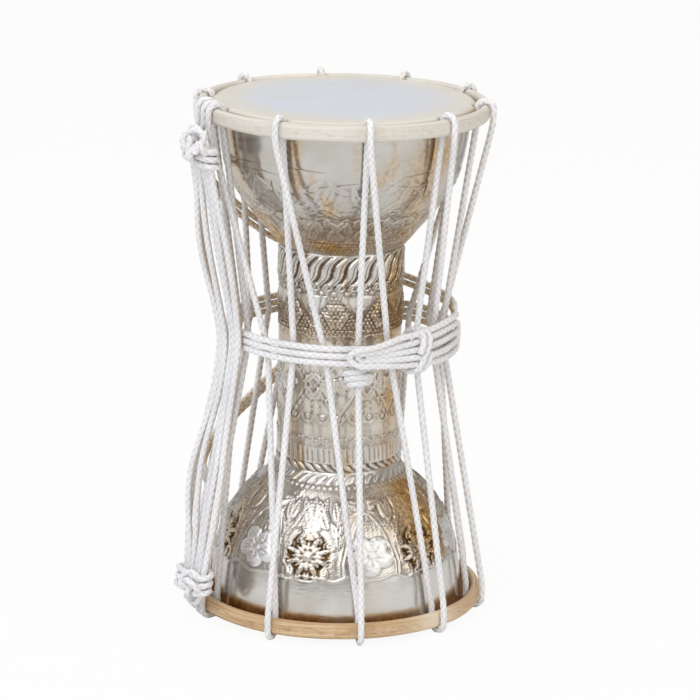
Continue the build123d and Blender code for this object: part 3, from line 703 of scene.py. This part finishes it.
class Finish:
    """A material with one surface shader and short words for the nodes that feed it."""

    def __init__(self, name, **sockets):
        """A new material with constant values on its surface shader."""
        self.material = bpy.data.materials.new(name)
        self.material.use_nodes = True
        self.nodes, self.links = self.material.node_tree.nodes, self.material.node_tree.links
        self.surface = self.nodes["Principled BSDF"]
        for key, value in sockets.items():
            self.wear(key.replace("_", " ").title(), value)
        self.place = self.nodes.new("ShaderNodeTexCoord")

    def feed(self, socket, source):
        """Set a socket to a constant or link it to another node."""
        if isinstance(source, (int, float, tuple)):
            socket.default_value = source
        else:
            self.links.new(source, socket)

    def wear(self, socket, source):
        """Feed a socket of the surface shader."""
        self.feed(self.surface.inputs[socket], source)

    def node(self, kind, **inputs):
        """A new node with its named inputs fed."""
        node = self.nodes.new("ShaderNode" + kind)
        for key, source in inputs.items():
            self.feed(node.inputs[key], source)
        return node

    def mark(self, name):
        """A value that the mesh carries at each of its points."""
        node = self.node("Attribute")
        node.attribute_name = name
        return node.outputs["Fac"]

    def scaled(self, scale, use="Object"):
        """Place on the piece, or along its own map, stretched by a scale."""
        return self.node("Mapping", Scale=scale, Vector=self.place.outputs[use]).outputs["Vector"]

    def clouds(self, vector, scale, detail=3.0, rough=0.55, distort=0.0):
        """Soft noise between 0 and 1."""
        return self.node("TexNoise", Vector=vector, Scale=scale, Detail=detail, Roughness=rough,
                         Distortion=distort).outputs["Fac"]

    def grade(self, source, *stops):
        """Colours or greys at places along a value."""
        node = self.node("ValToRGB", Fac=source)
        lay_stops(node, stops)
        return node.outputs["Color"]

    def mix(self, share, a, b):
        """A colour from a to b by a share."""
        node = self.node("Mix")
        node.data_type = "RGBA"
        for socket, source in ((0, share), (6, a), (7, b)):
            self.feed(node.inputs[socket], source)
        return node.outputs[2]

    def maths(self, way, a, b):
        """Product, sum or larger of two values, kept between 0 and 1."""
        node = self.node("Math")
        node.operation, node.use_clamp = way, True
        self.feed(node.inputs[0], a)
        self.feed(node.inputs[1], b)
        return node.outputs[0]

    def bump(self, height, far, strength):
        """Fine unevenness of the surface, too small for the mesh."""
        node = self.node("Bump", Height=height, Distance=far, Strength=strength)
        self.wear("Normal", node.outputs["Normal"])


def make_cord_finish():
    """White braid: the hollows between the strands are painted grey as shade, with fine yarn along the
    cord, and a tan tint, painted shade with a warm reflection, on the side that faces the drum."""
    f = Finish("white_braid", roughness=0.85, sheen_weight=0.1)
    lay = f.mark("lay")
    yarn = f.clouds(f.scaled((22, 60, 1), "UV"), 1.0, 2.0)
    dirt = f.clouds(f.scaled((1, 1, 1)), 38.0)
    white = f.grade(dirt, (0.3, linear(236, 237, 242)), (0.6, linear(247, 248, 252)))
    # Painted shade: grey where the braid's strands dip into hollows
    white = f.mix(f.grade(lay, (0.1, 0.55), (0.6, 0.0)), white, linear(178, 180, 188))
    white = f.mix(f.grade(yarn, (0.35, 0.22), (0.6, 0.0)), white, linear(200, 200, 204))
    # Painted shade: tan with a warm reflection on the side towards the drum, darker still in the braid's
    # hollows
    tan = f.grade(lay, (0.1, linear(176, 147, 106)), (0.75, linear(237, 217, 184)))
    f.wear("Base Color", f.mix(f.mark("stained"), white, tan))
    f.bump(yarn, 0.00025, 0.6)
    return f.material


def make_shell_finish(name, warm, grey):
    """Plated metal: silver; golden in clouds and upright streaks, as wear and painted warm reflection;
    nearly black in the hollows of the chasing; white and dull in its frost, its white colour a painted
    highlight."""
    f = Finish(name, metallic=1.0, roughness=0.2)
    place = f.scaled((1, 1, 1))
    clouds = f.clouds(place, 26.0, 4.0, 0.6, 0.5)
    streaks = f.clouds(f.scaled((1, 1, 0.22)), 75.0, 4.0, 0.6, 0.3)
    fine = f.clouds(place, 420.0)
    dim, bright = linear(grey - 17, grey - 19, grey - 25), linear(grey, grey, grey - 1)
    plate = f.grade(clouds, (0.36, dim), (0.58, bright))
    gold = f.grade(fine, (0.35, linear(168, 124, 66)), (0.65, linear(226, 190, 130)))
    sunk = f.grade(fine, (0.3, linear(34, 24, 14)), (0.7, linear(112, 80, 42)))
    # Gold from the chased mark, clouds and upright streaks: wear of the plate and painted warm
    # reflection
    golden = f.maths("MULTIPLY", f.grade(clouds, (0.42, 1.0), (0.62, 0.35)), f.mark("chased"))
    golden = f.maths("MAXIMUM", golden, f.grade(streaks, (0.56, 0.0), (0.68, warm)))
    # Frost: dull, and its white colour is a painted highlight
    frosted = f.mark("frosted")
    metal = f.mix(frosted, f.mix(golden, plate, gold), linear(236, 238, 243))
    f.wear("Base Color", f.mix(f.mark("hollow"), metal, sunk))
    smeared = f.grade(f.clouds(place, 90.0, 4.0), (0.3, 0.13), (0.7, 0.27))
    f.wear("Roughness", f.maths("MAXIMUM", smeared, f.grade(frosted, (0.0, 0.0), (1.0, 0.45))))
    f.bump(f.clouds(f.scaled((1, 1, 4)), 160.0), 0.00012, 0.5)
    return f.material


def make_cane_finish(name, pale, mid, dark, grain):
    """Bent cane: long grain round the hoop, paler and darker stretches, fine pores; the marked pale
    stretch is wear and painted highlight.
    """
    f = Finish(name, roughness=0.5, coat_weight=0.1)
    streaks = f.clouds(f.scaled((26, 9, 1), "UV"), 1.0, 5.0, 0.62, 0.3)
    long = f.clouds(f.scaled((5, 2.6, 1), "UV"), 1.0, 3.0, 0.6, 0.5)
    pores = f.clouds(f.scaled((60, 90, 1), "UV"), 1.0)
    wood = f.grade(long, (0.36, mid), (0.58, pale))
    wood = f.mix(f.grade(streaks, (0.42, grain), (0.6, 0.0)), wood, dark)
    wood = f.mix(f.grade(pores, (0.36, 0.4), (0.5, 0.0)), wood, dark)
    # Painted highlight: the marked stretch is made paler, partly as wear, partly as sheen
    f.wear("Base Color", f.mix(f.mark("pale"), wood, linear(236, 226, 206)))
    f.bump(f.maths("ADD", streaks, pores), 0.0005, 0.6)
    return f.material


def make_hide_finish(name, middle, edge, stain, crease, spots):
    """Scraped hide: cloudy, paler or browner towards its edge, dark with painted shade in its crease and
    at its holes.
    """
    f = Finish(name, roughness=0.55, subsurface_weight=0.05, coat_weight=0.05,
               subsurface_radius=(0.004, 0.003, 0.002))
    place = f.scaled((1, 1, 1))
    clouds = f.clouds(place, 30.0, 5.0, 0.6, 0.5)
    fibre = f.clouds(place, 240.0, 4.0, 0.6)
    skin = f.mix(f.mark("edge"), middle, edge)
    skin = f.mix(f.grade(clouds, (0.4, spots), (0.65, 0.0)), skin, stain)
    skin = f.mix(f.grade(fibre, (0.3, 0.18), (0.5, 0.0)), skin, stain)
    # Painted shade in the crease where the hide falls to the hoop, and at the lace holes
    skin = f.mix(f.mark("crease"), skin, crease)
    f.wear("Base Color", f.mix(f.mark("hole"), skin, linear(66, 50, 36)))
    f.bump(fibre, 0.0002, 0.35)
    return f.material


cord_finish = make_cord_finish()
# One plating in three greys: darker on the upper bowl, which faces down, as painted shade, and lightest
# on the waist tube, as painted light
upper_shell_finish = make_shell_finish("upper_plate", 0.5, 206)
waist_finish = make_shell_finish("waist_plate", 0.55, 224)
lower_shell_finish = make_shell_finish("lower_plate", 0.35, 219)
# One cane in two colours: the upper hoop is painted paler, as light from above, the lower keeps a tan
upper_cane_finish = make_cane_finish("pale_cane", linear(224, 224, 222), linear(219, 216, 209),
                                     linear(198, 186, 166), 0.35)
lower_cane_finish = make_cane_finish("tan_cane", linear(229, 206, 172), linear(212, 180, 136),
                                     linear(156, 112, 68), 0.55)
# Painted reflection: the bluish middle of the upper hide stands for a cool sky mirrored in it
upper_hide_finish = make_hide_finish("white_hide", linear(205, 212, 224), linear(216, 213, 205),
                                     linear(200, 194, 182), linear(132, 96, 62), 0.25)
lower_hide_finish = make_hide_finish("brown_hide", linear(206, 190, 164), linear(168, 122, 82),
                                     linear(140, 98, 62), linear(150, 104, 66), 0.5)


# Shell. Each chasing gives the relief of a wall, its share of gold (wear and painted warm
# reflection), its frost (whitened as a painted highlight) and how black its hollows are.
def upper_chasing(angle, share, radius):
    """Bowl of the upper head, from its joint up: a stippled edge, a thick band of leaves laid over
    one another between cords of beads, long engraved stems and leaves, then plain metal."""
    y, turn = share * BOWL_WALL, np.radians(angle)
    pip_x = repeat(angle, BOWL_PIPS, radius, 0.5 * (np.floor(y / BOWL_PIP) % 2))
    pips = bead(pip_x, y % BOWL_PIP - BOWL_PIP / 2, BOWL_PIP / 2) * band(1.2, 8.6, y, 0.4)
    scrolls = (curl(repeat(angle, BOWL_SPRAYS, radius, 0.3), y - 41, 5.0)
               + curl(repeat(angle, BOWL_SPRAYS, radius, 0.72), y - 33, 4.0, -1))
    wave = y - 27.5 - 1.2 * np.sin(turn * 18) - 0.8 * np.sin(turn * 41)
    broken = band(0.2, 2, noise(8, angle.shape, 14), 0.4)
    scores = sum(ridge(y - at - 2.5 * np.sin(turn * waves + at), 0.4)
                 * band(0.1, 0.9, np.sin(turn * 3 + at), 0.2) for at, waves in BOWL_SCORES)
    relief = raised(
        BOWL_HEIGHTS, pips=pips, beads=bead(repeat(angle, BOWL_BEADS, radius), y - 10.2, 0.95),
        leaves=bush(angle, y, radius, BOWL_BUSHES, BOWL_LEAVES),
        stems=bush(angle, y, radius, BOWL_SPRAYS, BOWL_STEMS), scrolls=scrolls,
        cut=(ridge(wave, 0.5) + 0.7 * ridge(wave - 2.4, 0.45)) * broken, scores=scores,
        rough=noise(3, angle.shape, 150) * band(2, 52, y, 6.0) + 0.2 * noise(4, angle.shape, 60))
    # Gold: wear of the plate, and painted warm reflection in the patches round the girth
    gold = (0.8 * band(0.5, 11, y, 4) + 0.35 * band(8, 30, y, 7) + wear_and_reflection(angle, *BOWL_WEAR_AND_REFLECTION)
            + band(12, 88, y, 8) * wear_and_reflection(angle, BOWL_RIGHT)
            + band(40, 84, y, 8) * wear_and_reflection(angle, BOWL_STREAK))
    return relief, np.clip(gold, 0, 1), np.zeros_like(y), np.full_like(y, BOWL_BLACK)


def waist_chasing(angle, z):
    """Waist tube from the top: leaning tongues with curled feet, plain shields over flowers and
    seeds, lozenges with dotted edges and a bud at each crossing, a chain of scallops and beads, a
    dotted zigzag, flutes and a border of slanting leaves."""
    def at(count, turn_at, x, height):
        """Place in the nearest copy of a motif on the tube."""
        return stamp(angle, z, WAIST_R, count, turn_at, x, height)

    up = z - TONGUE_Z
    x = repeat(angle - up * 1.25 - 2.4 * np.sin(up * 0.4), TONGUES, WAIST_R)
    tongues = np.sqrt(np.clip(1 - (x / 2.5) ** 2, 0, 1)) - 0.75 * ridge(x - 0.9, 0.42)
    feet = curl(*at(TONGUES, 0, 0.0, 177.4), 2.7) + bead(*at(TONGUES, 6, 0.0, 174.6), 1.25)
    shield = (np.abs(repeat(angle, SHIELDS, WAIST_R, 0.4)) / 9.5
              + np.clip((SHIELD_Z - z) / 12.5, 0, 9))
    shields = (step(0.0, 0.12, 1 - shield) * band(155, 173.2, z, 0.5)
               - 0.6 * ridge((shield - 0.86) * 10, 0.6) * band(155, 172.6, z, 0.5))
    seed_x = repeat(angle, SEEDS, WAIST_R, 0.5 * (np.floor(z / SEED_PITCH) % 2))
    seeds = bead(seed_x, z % SEED_PITCH - SEED_PITCH / 2, 0.9) * band(152, 173, z, 0.6) * (shield > 1.06)
    blooms = (blossom(*at(SHIELDS, BLOOM_AT, 0, 163), 6.2, 6) * (shield > 1.0)
              + flower(*at(SHIELDS, SPRIG_AT, 0, 166.5), 2.6, 5))
    sprigs = bush(angle, z, WAIST_R, SHIELDS, WAIST_SPRIGS) * (shield > 1.0) * band(149, 172, z, 0.5)
    lozenge_x = np.abs(repeat(angle, LOZENGES, WAIST_R, 0.02)) / (TAU * WAIST_R / 2 / LOZENGES)
    inside = (1 - lozenge_x - np.abs((z - LOZENGE_Z) / 21.0)) * 11.5
    zone = band(105.5, 146.5, z, 0.5)
    lozenges = 0.9 * step(-0.3, 0.5, inside - 2.6) * (1 - 0.5 * step(0.6, 2.0, inside - 2.6)) * zone
    dots = bead(repeat(angle, DOTS, WAIST_R), inside - 1.0, 0.85) * zone
    crossing = (bush(angle, z, WAIST_R, LOZENGES, WAIST_BUDS) + blossom(*at(LOZENGES, 1, 0, 126), 4.6, 5)
                + curl(*at(LOZENGES, 1, 5.5, 134), 2.4)
                + curl(*at(LOZENGES, 1, -5.5, 117), 2.4, -1)) * zone
    chain_x = repeat(angle, SCALLOPS, WAIST_R)
    chain = (bead(chain_x, z - 108.5 - 0.35 * chain_x ** 2, 1.5)
             + 0.8 * ridge(z - 105.6 - 0.26 * chain_x ** 2, 0.55) * band(103, 110, z, 0.5))
    zigzag_z = z - 0.8 * np.abs(repeat(angle, ZIGZAGS, WAIST_R))
    zigzag = (bead(repeat(angle, 3 * ZIGZAGS, WAIST_R), zigzag_z - 95.4, 0.9)
              + 0.7 * ridge(zigzag_z - 93.6, 0.42))
    slant = repeat(angle + (z - 81.5) * 1.9, SLANTS, WAIST_R)
    relief = raised(
        WAIST_HEIGHTS, tongues=tongues * band(178.6, 193.6, z, 1.0), feet=feet, shields=shields,
        seeds=seeds, blooms=blooms, sprigs=sprigs, lozenges=lozenges, dots=dots, crossing=crossing,
        chain=chain, zigzag=zigzag,
        flutes=np.abs(np.sin(np.radians(angle + 0.15 * z) * FLUTES)) * band(84.8, 92.6, z, 0.6),
        border=bead(slant * 0.85, (z - 81.4) * 0.7, 1.75) * band(79.3, 83.9, z, 0.3),
        rims=ridge(z - 194.4, 0.5) + ridge(z - 84.3, 0.4), rough=noise(9, angle.shape, 90))
    # Gold: wear round the shields and painted warm reflection in the patches round the girth
    gold = (0.4 * band(148, 172, z, 3) * (shield > 1.0) + 0.1 * band(99, 148, z, 4)
            + wear_and_reflection(angle, *WAIST_WEAR_AND_REFLECTION))
    return relief, np.clip(gold, 0, 1), np.zeros_like(z), np.full_like(z, WAIST_BLACK)


def lower_chasing(angle, share, radius):
    """Bell of the lower head, from its joint down: a border of buds, feathered leaves laid over one
    another, arches over broad blossoms, dark rosettes with scrolls and hanging tongues between
    them, a scalloped hem and a plain band, brown at the rim as a painted reflection of the hide."""
    y, turn = share * BELL_WALL, np.radians(angle)
    arch_x = repeat(angle, BELL_SIDES, radius, BROAD_AT / 360 * BELL_SIDES)
    arch = np.abs(arch_x) - 14.0 * np.sqrt(np.clip((y - 21.5) / 30, 0, 1))
    under = step(0, 0.6, -arch) * band(22, 61, y, 0.6)
    broad = blossom(*stamp(angle, y, radius, BELL_SIDES, BROAD_AT, 0.5, 46.5, 20), 12.0, 5)
    petals = step(0.02, 0.3, broad)
    rose_x, rose_y = stamp(angle, y, radius, BELL_SIDES, ROSE_AT, 0, 47)
    ground = bead(rose_x, rose_y * 0.8, 12.5)
    rose = np.maximum(flower(rose_x, rose_y, 9.0, 8), 0.85 * flower(rose_x, rose_y, 12.5, 8, 0.39))
    scrolls = sum(curl(*stamp(angle, y, radius, BELL_SIDES, ROSE_AT, hand * 11.0, height), 3.4, hand)
                  for hand in (-1, 1) for height in (40.5, 50.5))
    feathers = np.maximum(bush(angle, y, radius, BELL_SIDES, BELL_FEATHERS),
                          bush(angle, y, radius, BELL_GAPS, BELL_BETWEEN)) * step(-0.5, 1.5, arch - 2.8)
    hem = y - 60.5 - 1.3 * np.cos(turn * 18 + 0.8) - 0.6 * np.cos(turn * 31)
    crinkled = noise(11, angle.shape, 90)
    relief = raised(
        BELL_HEIGHTS, buds=bead(repeat(angle + y * 1.3, BELL_BUDS, radius) * 0.8, (y - 4.0) * 0.62, 1.7),
        beads=bead(repeat(angle, BELL_BEADS, radius), y - 8.0, 1.0),
        arches=(ridge(arch, 0.75) + 0.8 * ridge(arch - 2.3, 0.55)) * band(21, 59, y, 1.0),
        reeds=np.abs(np.sin(arch_x * 1.3)) * under * band(24, 39, y, 1.5), broad=broad * (arch < 1.0),
        ground=ground * (rose < 0.05), rose=rose, scrolls=scrolls * (rose < 0.3),
        hanging=bush(angle, y, radius, BELL_SIDES, BELL_HANGING), feathers=feathers, hem=ridge(hem, 0.7),
        rough=noise(7, angle.shape, 150) * band(9, 59, y, 1.5), crinkled=crinkled * petals)
    dark = np.clip(ground * 1.4, 0, 1)
    # Frost on the broad blossoms; its whiter colour is a painted highlight
    frosted = petals * (arch < 1.0) * np.clip(0.8 + 0.28 * crinkled, 0, 1)
    # Gold: wear and painted warm reflection in patches round the bell
    gold = np.clip(0.12 * (1 - under) + 0.05 * dark + wear_and_reflection(angle, *BELL_WEAR_AND_REFLECTION), 0, 1)
    # Painted reflection: the brown along the rim stands for the hide mirrored in the plain band
    gold = gold * band(7, 58, y, 3) * (1 - 0.8 * frosted) + 0.9 * step(82.5, 87, y)
    return relief, gold, frosted, 0.5 + 0.45 * dark - 0.2 * frosted


def outline(end, share):
    """Radius and height of a bowl's outside at shares of its height, on a smooth curve through
    its shape (cubic spans with the slopes of their neighbours)."""
    at = np.array(end.shape, float)
    slope = np.gradient(at[:, 1], at[:, 0])
    i = np.clip(np.searchsorted(at[:, 0], share, side="right") - 1, 0, len(at) - 2)
    h = at[i + 1, 0] - at[i, 0]
    flare = cubic((share - at[i, 0]) / h, at[i, 1], h * slope[i], at[i + 1, 1], h * slope[i + 1])
    return (WAIST_R + (end.rim_r - WAIST_R) * flare,
            end.joint_z + (end.rim_z - end.joint_z) * share)


def shell_piece(name, radius, z, angles, relief, gold, frosted, black, finish, node, side):
    """A turned wall with chasing: the outside is pushed out along its normal by the relief, the
    inside stays plain, and the two are closed at the ends. The marks for the finish go with the
    outside; hollows are where the relief lies below its surroundings or is cut in."""
    slope = np.gradient(radius) / np.gradient(z)
    lean = np.sqrt(1 + slope ** 2)
    out_r = radius[:, None] + relief / lean[:, None]
    out_z = z[:, None] - relief * (slope / lean)[:, None]
    below = spread(relief, HOLLOW_ROWS, HOLLOW_COLUMNS) - relief
    hollow = np.clip(below * HOLLOW_NEAR, 0, 1) + np.clip(-relief * HOLLOW_CUT, 0, HOLLOW_CUT_MOST)
    inner = np.arange(len(z))[::-1][::INSIDE_STEP]
    inner = np.concatenate([[len(z) - 1], inner[(inner > 0) & (inner < len(z) - 1)], [0]])
    in_r = np.repeat((radius[inner] - WALL * lean[inner])[:, None], len(angles), 1)
    in_z = np.repeat(z[inner][:, None], len(angles), 1)
    plain = np.zeros_like(in_r)

    def closed(outside, inside):
        """Rows up the outside, down the inside and back to the first, in the piece's own order."""
        return np.concatenate([outside, inside, outside[:1]])[::side]

    r, height = closed(out_r, in_r), closed(out_z, in_z)
    marks = {"hollow": closed(hollow * black, plain), "chased": closed(gold, plain),
             "frosted": closed(frosted, plain)}
    uv = np.stack(np.broadcast_arrays(np.arange(len(r))[:, None] / len(r), angles / 360), -1)
    patch = {"points": polar(r, angles, height), "uv": uv, "marks": marks, "caps": (0, 0)}
    return gather(name, [patch], finish, "drum", [node])


def bowl_piece(name, end, chasing, finish):
    """A bowl or bell from its joint to its rim; its rows stand closer where the chasing is."""
    chased, close, beyond = end.rows
    share = np.concatenate([np.linspace(0, chased, close, endpoint=False),
                            np.linspace(chased, 1, beyond)])
    radius, z = outline(end, share)
    girth = np.arange(BOWL_GIRTH) / BOWL_GIRTH * 360
    relief, *marks = chasing(*np.broadcast_arrays(girth, share[:, None], radius[:, None]))
    relief = relief * step(0, JOINT_FADE, share)[:, None]
    return shell_piece(name, radius, z, girth, relief, *marks, finish, end.name + "_bowl", end.side)


def waist_piece():
    """The straight tube between the two bowls."""
    girth = np.arange(WAIST_GIRTH) / WAIST_GIRTH * 360
    z = np.linspace(LOWER.joint_z, UPPER.joint_z, WAIST_ROWS)
    chasing = waist_chasing(*np.broadcast_arrays(girth, z[:, None]))
    return shell_piece("waist_plate", np.full(len(z), WAIST_R), z, girth, *chasing, waist_finish,
                       "waist_tube", 1)


# Hoops and heads
def hoop_piece(end, finish):
    """Bent cane: a flat-sided section with round edges carried round the axis, with small swells
    and waves that a hand-bent strip keeps."""
    seed, pale_at = end.cane
    around = np.arange(HOOP_GIRTH) / HOOP_GIRTH * 360
    corner = np.linspace(0, np.pi, HOOP_EDGE)
    straight, half = HOOP_TALL - HOOP_THICK, HOOP_THICK / 2
    edge_r, edge_z = half * np.cos(corner), straight / 2 + half * np.sin(corner)
    section_r, section_z = np.concatenate([edge_r, -edge_r]), np.concatenate([edge_z, -edge_z])
    wave = noise(seed, (3, HOOP_GIRTH), 9)
    r = end.mid_r + section_r[:, None] * (1 + HOOP_SWELL * wave[0]) + HOOP_STRAY * wave[1]
    z = min(end.hoop_z, end.far_z) + HOOP_TALL / 2 + section_z[:, None] * (1 + HOOP_SWELL * wave[2])
    p = polar(r, around, z)
    p = np.concatenate([p, p[:1]])[::-1]
    along = np.arange(len(p))[::-1, None] / (len(p) - 1)
    uv = np.stack(np.broadcast_arrays(along, around / 360), -1)
    pale = np.repeat(near(around, pale_at, HOOP_PALE_WIDE)[None], len(p), 0) * HOOP_PALE
    patch = {"points": p, "uv": uv, "caps": (0, 0), "marks": {"pale": pale}}
    return gather(end.name + "_hoop_cane", [patch], finish, "drum", [end.name + "_hoop"])


def head_piece(end, finish):
    """A hide over the rim: flat, then falling to its hoop with a sunk crease, drawn down a little
    at each lace hole. Rows run from the middle of the under face out to the edge and back."""
    around = np.arange(HIDE_GIRTH) / HIDE_GIRTH * 360
    rim_r, edge = end.rim_r, end.hoop_r - HOOP_THICK - HIDE_CLEAR
    r = np.concatenate([np.linspace(HIDE_MIDDLE, rim_r - 3, HIDE_FLAT_ROWS),
                        np.linspace(rim_r - 2.4, edge, HIDE_EDGE_ROWS)])
    r, a = np.meshgrid(r, around, indexing="ij")
    x, from_lace = repeat(a, LACES, r, LACE_START / 360 * LACES), r - end.inner
    fall = (SKIN_DROP - SKIN) * step(rim_r - 1.2, edge + 0.6, r)
    pull = PULL_DEEP * np.exp(-((x / PULL_WIDE) ** 2 + (from_lace / PULL_LONG) ** 2))
    swell = HIDE_SWELL * noise(11, r.shape, 7) * step(rim_r - 8, rim_r, r)
    under = swell - fall - pull * step(rim_r - 1.0, rim_r + 1.4, r)
    hole = np.exp(-((x / HOLE_WIDE) ** 2 + ((from_lace + HOLE_IN) / HOLE_LONG) ** 2))

    def folded(inside, outside):
        """Rows of the inner face, then those of the outer face back, in the head's own order."""
        return np.concatenate([inside, outside[::-1]])[::end.side]

    browner = step(rim_r - end.soft, rim_r - 1.0, r + 1.6 * noise(5, r.shape, 12))
    crease = CREASE_DARK * step(rim_r + CREASE_FROM, rim_r + CREASE_TO, r)
    marks = {"edge": folded(browner, browner), "crease": folded(crease, crease),
             "hole": HOLE_DARK * folded(hole, hole)}
    rows_r, rows_a = folded(r, r), folded(a, a)
    patch = {"points": polar(rows_r, rows_a, end.rim_z + end.side * folded(under, under + SKIN)),
             "uv": np.stack([rows_r / 80, rows_a / 360], -1), "marks": marks}
    return gather(end.name + "_hide", [patch], finish, "drum", [end.name + "_skin"])


bowl_piece("upper_bowl_plate", UPPER, upper_chasing, upper_shell_finish)
bowl_piece("lower_bell_plate", LOWER, lower_chasing, lower_shell_finish)
waist_piece()
hoop_piece(UPPER, upper_cane_finish)
hoop_piece(LOWER, lower_cane_finish)
head_piece(UPPER, upper_hide_finish)
head_piece(LOWER, lower_hide_finish)

# The lacing: at each loop one lace runs upright and one slants by half the way to the next loop
for end in ENDS:
    cord_piece(end.name + "_loops", [hoop_loop(end, a) for a in LACE_ANGLES],
               "drum", [end.name + "_lace_loops"])
for number, a in enumerate(LACE_ANGLES, 1):
    for end in ENDS:
        upright, slanting = (end.inner, end.outer)[::end.side]
        half_way = a + end.side * 180 / LACES
        cord_piece("%s_lace_pair_%02d" % (end.name, number),
                   [lace(end, upright, a, a), lace(end, slanting, a, half_way)],
                   "%s_lace_%02d" % (end.name, number), ["%s_laces_%02d" % (end.name, number)])

# Binding, hanks and knots
binding = binding_line(np.linspace(0, TURNS, BINDING_FINE * TURNS))
tuck = hank_line(TUCK_RUNS, tuck_spacing, TUCK_HALF, tuck_place)
cord_piece("waist_turns", [binding], "drum", ["waist_binding"], BINDING_SIDE_SHADE, flatten=True)
cord_piece("tucked_hank", [tuck, wrap_line()], "drum", ["binding_hank"], flatten=True)
cord_piece("spare_hank_cord", [hank_line(HANK_RUNS, hank_spacing, HANK_HALF, hank_place)],
           "drum", ["spare_hank"], HANK_SIDE_SHADE)
for end in ENDS:
    cord_piece(end.name + "_tie_cord", [tie_line(end), hitch_line(end)], "drum", [end.name + "_tie"])
# The part of the upper doubled cord that lies on the back laces moves with them, the rest with
# the binding; they part where both move alike.
doubled = doubled_line(UPPER_BACK, BACK_STEP / 2, tuck[-1], np.empty((0, 3)))
on_laces = np.nonzero(np.degrees(np.arctan2(doubled[:, 0], -doubled[:, 1])) % 360 > PART_ANGLE)[0]
out, back = on_laces[0], on_laces[-1]
cord_piece("upper_doubled_start", [doubled[:out + 1], doubled[back:]], "drum", ["upper_back_cord"],
           BACK_SIDE_SHADE, flatten=True)
cord_piece("upper_doubled_cord", [doubled[out:back + 1]], "upper_lace_07", ["upper_back_cord"],
           BACK_SIDE_SHADE)
cord_piece("lower_doubled_cord", [doubled_line(LOWER_BACK, -BACK_STEP / 2, binding[-1],
                                               polar(*np.transpose(LOWER_BACK_TAIL)))],
           "lower_lace_07", ["lower_back_cord"], BACK_SIDE_SHADE)
cord_piece("front_knot", [knot_line(*coil) for coil in KNOT_COILS], "lower_lace_01", ["binding_knot"])


# Floor, light and camera
def shown_white(tree, room, white, share, output):
    """Join two shaders: the camera sees a share of the white one, the rest of the room the other."""
    path, blend = tree.nodes.new("ShaderNodeLightPath"), tree.nodes.new("ShaderNodeMixShader")
    seen = tree.nodes.new("ShaderNodeMath")
    seen.operation = "MULTIPLY"
    seen.inputs[1].default_value = share
    white.inputs["Color"].default_value = (1, 1, 1, 1)
    for source, socket in ((path.outputs["Is Camera Ray"], seen.inputs[0]),
                           (seen.outputs[0], blend.inputs[0]), (room.outputs[0], blend.inputs[1]),
                           (white.outputs[0], blend.inputs[2]),
                           (blend.outputs[0], tree.nodes[output].inputs["Surface"])):
        tree.links.new(source, socket)


def make_floor():
    """A wide pale floor; seen by the camera it is nearly white and keeps a soft shadow."""
    mesh, w = bpy.data.meshes.new("floor"), FLOOR_HALF
    mesh.from_pydata([(-w, -w, 0), (w, -w, 0), (w, w, 0), (-w, w, 0)], [], [(0, 1, 2, 3)])
    floor = bpy.data.objects.new("floor", mesh)
    bpy.context.scene.collection.objects.link(floor)
    finish = Finish("pale_floor", base_color=linear(236, 235, 233), roughness=0.9)
    shown_white(finish.material.node_tree, finish.surface, finish.node("Emission"), FLOOR_WHITE,
                "Material Output")
    mesh.materials.append(finish.material)


def make_world():
    """Soft studio surroundings: white to the camera, and round the drum white with dark upright
    edges, warm on the right."""
    world = bpy.data.worlds.new("studio")
    bpy.context.scene.world = world
    world.use_nodes = True
    nodes, links = world.node_tree.nodes, world.node_tree.links
    room = nodes["Background"]
    place, parts = nodes.new("ShaderNodeTexCoord"), nodes.new("ShaderNodeSeparateXYZ")
    wide, tone = nodes.new("ShaderNodeMapRange"), nodes.new("ShaderNodeValToRGB")
    wide.inputs["From Min"].default_value, wide.inputs["From Max"].default_value = -1, 1
    lay_stops(tone, ROOM_TONES)
    links.new(place.outputs["Generated"], parts.inputs[0])
    links.new(parts.outputs["X"], wide.inputs["Value"])
    links.new(wide.outputs["Result"], tone.inputs["Fac"])
    links.new(tone.outputs["Color"], room.inputs["Color"])
    room.inputs["Strength"].default_value = ROOM_LIGHT
    shown_white(world.node_tree, room, nodes.new("ShaderNodeBackground"), 1.0, "World Output")


def aimed(name, data, at, aim, tip=0.0):
    """A lamp or camera at a point, turned towards another and tipped round its own axis."""
    away = unit(np.array(at, float) - np.array(aim, float))
    right = unit(np.cross(UP, away))
    up = np.cross(away, right)
    c, s = math.cos(tip), math.sin(tip)
    turn = np.stack([c * right + s * up, c * up - s * right, away], 1)
    thing = bpy.data.objects.new(name, data)
    bpy.context.scene.collection.objects.link(thing)
    thing.matrix_world = Matrix.Translation(at) @ Matrix(turn.tolist()).to_4x4()
    return thing


make_floor()
make_world()
for name, at, aim, wide, power, colour in LAMPS:
    light = bpy.data.lights.new(name, "AREA")
    light.energy, light.size, light.color = power, wide, colour
    aimed(name, light, at, aim)
# The photograph's view: 1.8 m away, a little above the upper head, tipped by a degree
view = bpy.data.cameras.new("view")
view.lens, view.sensor_width = VIEW_LENS, VIEW_SENSOR
bpy.context.scene.camera = aimed("view", view, VIEW_AT, VIEW_AIM, VIEW_TIP)
bpy.context.scene.view_settings.view_transform = "Standard"
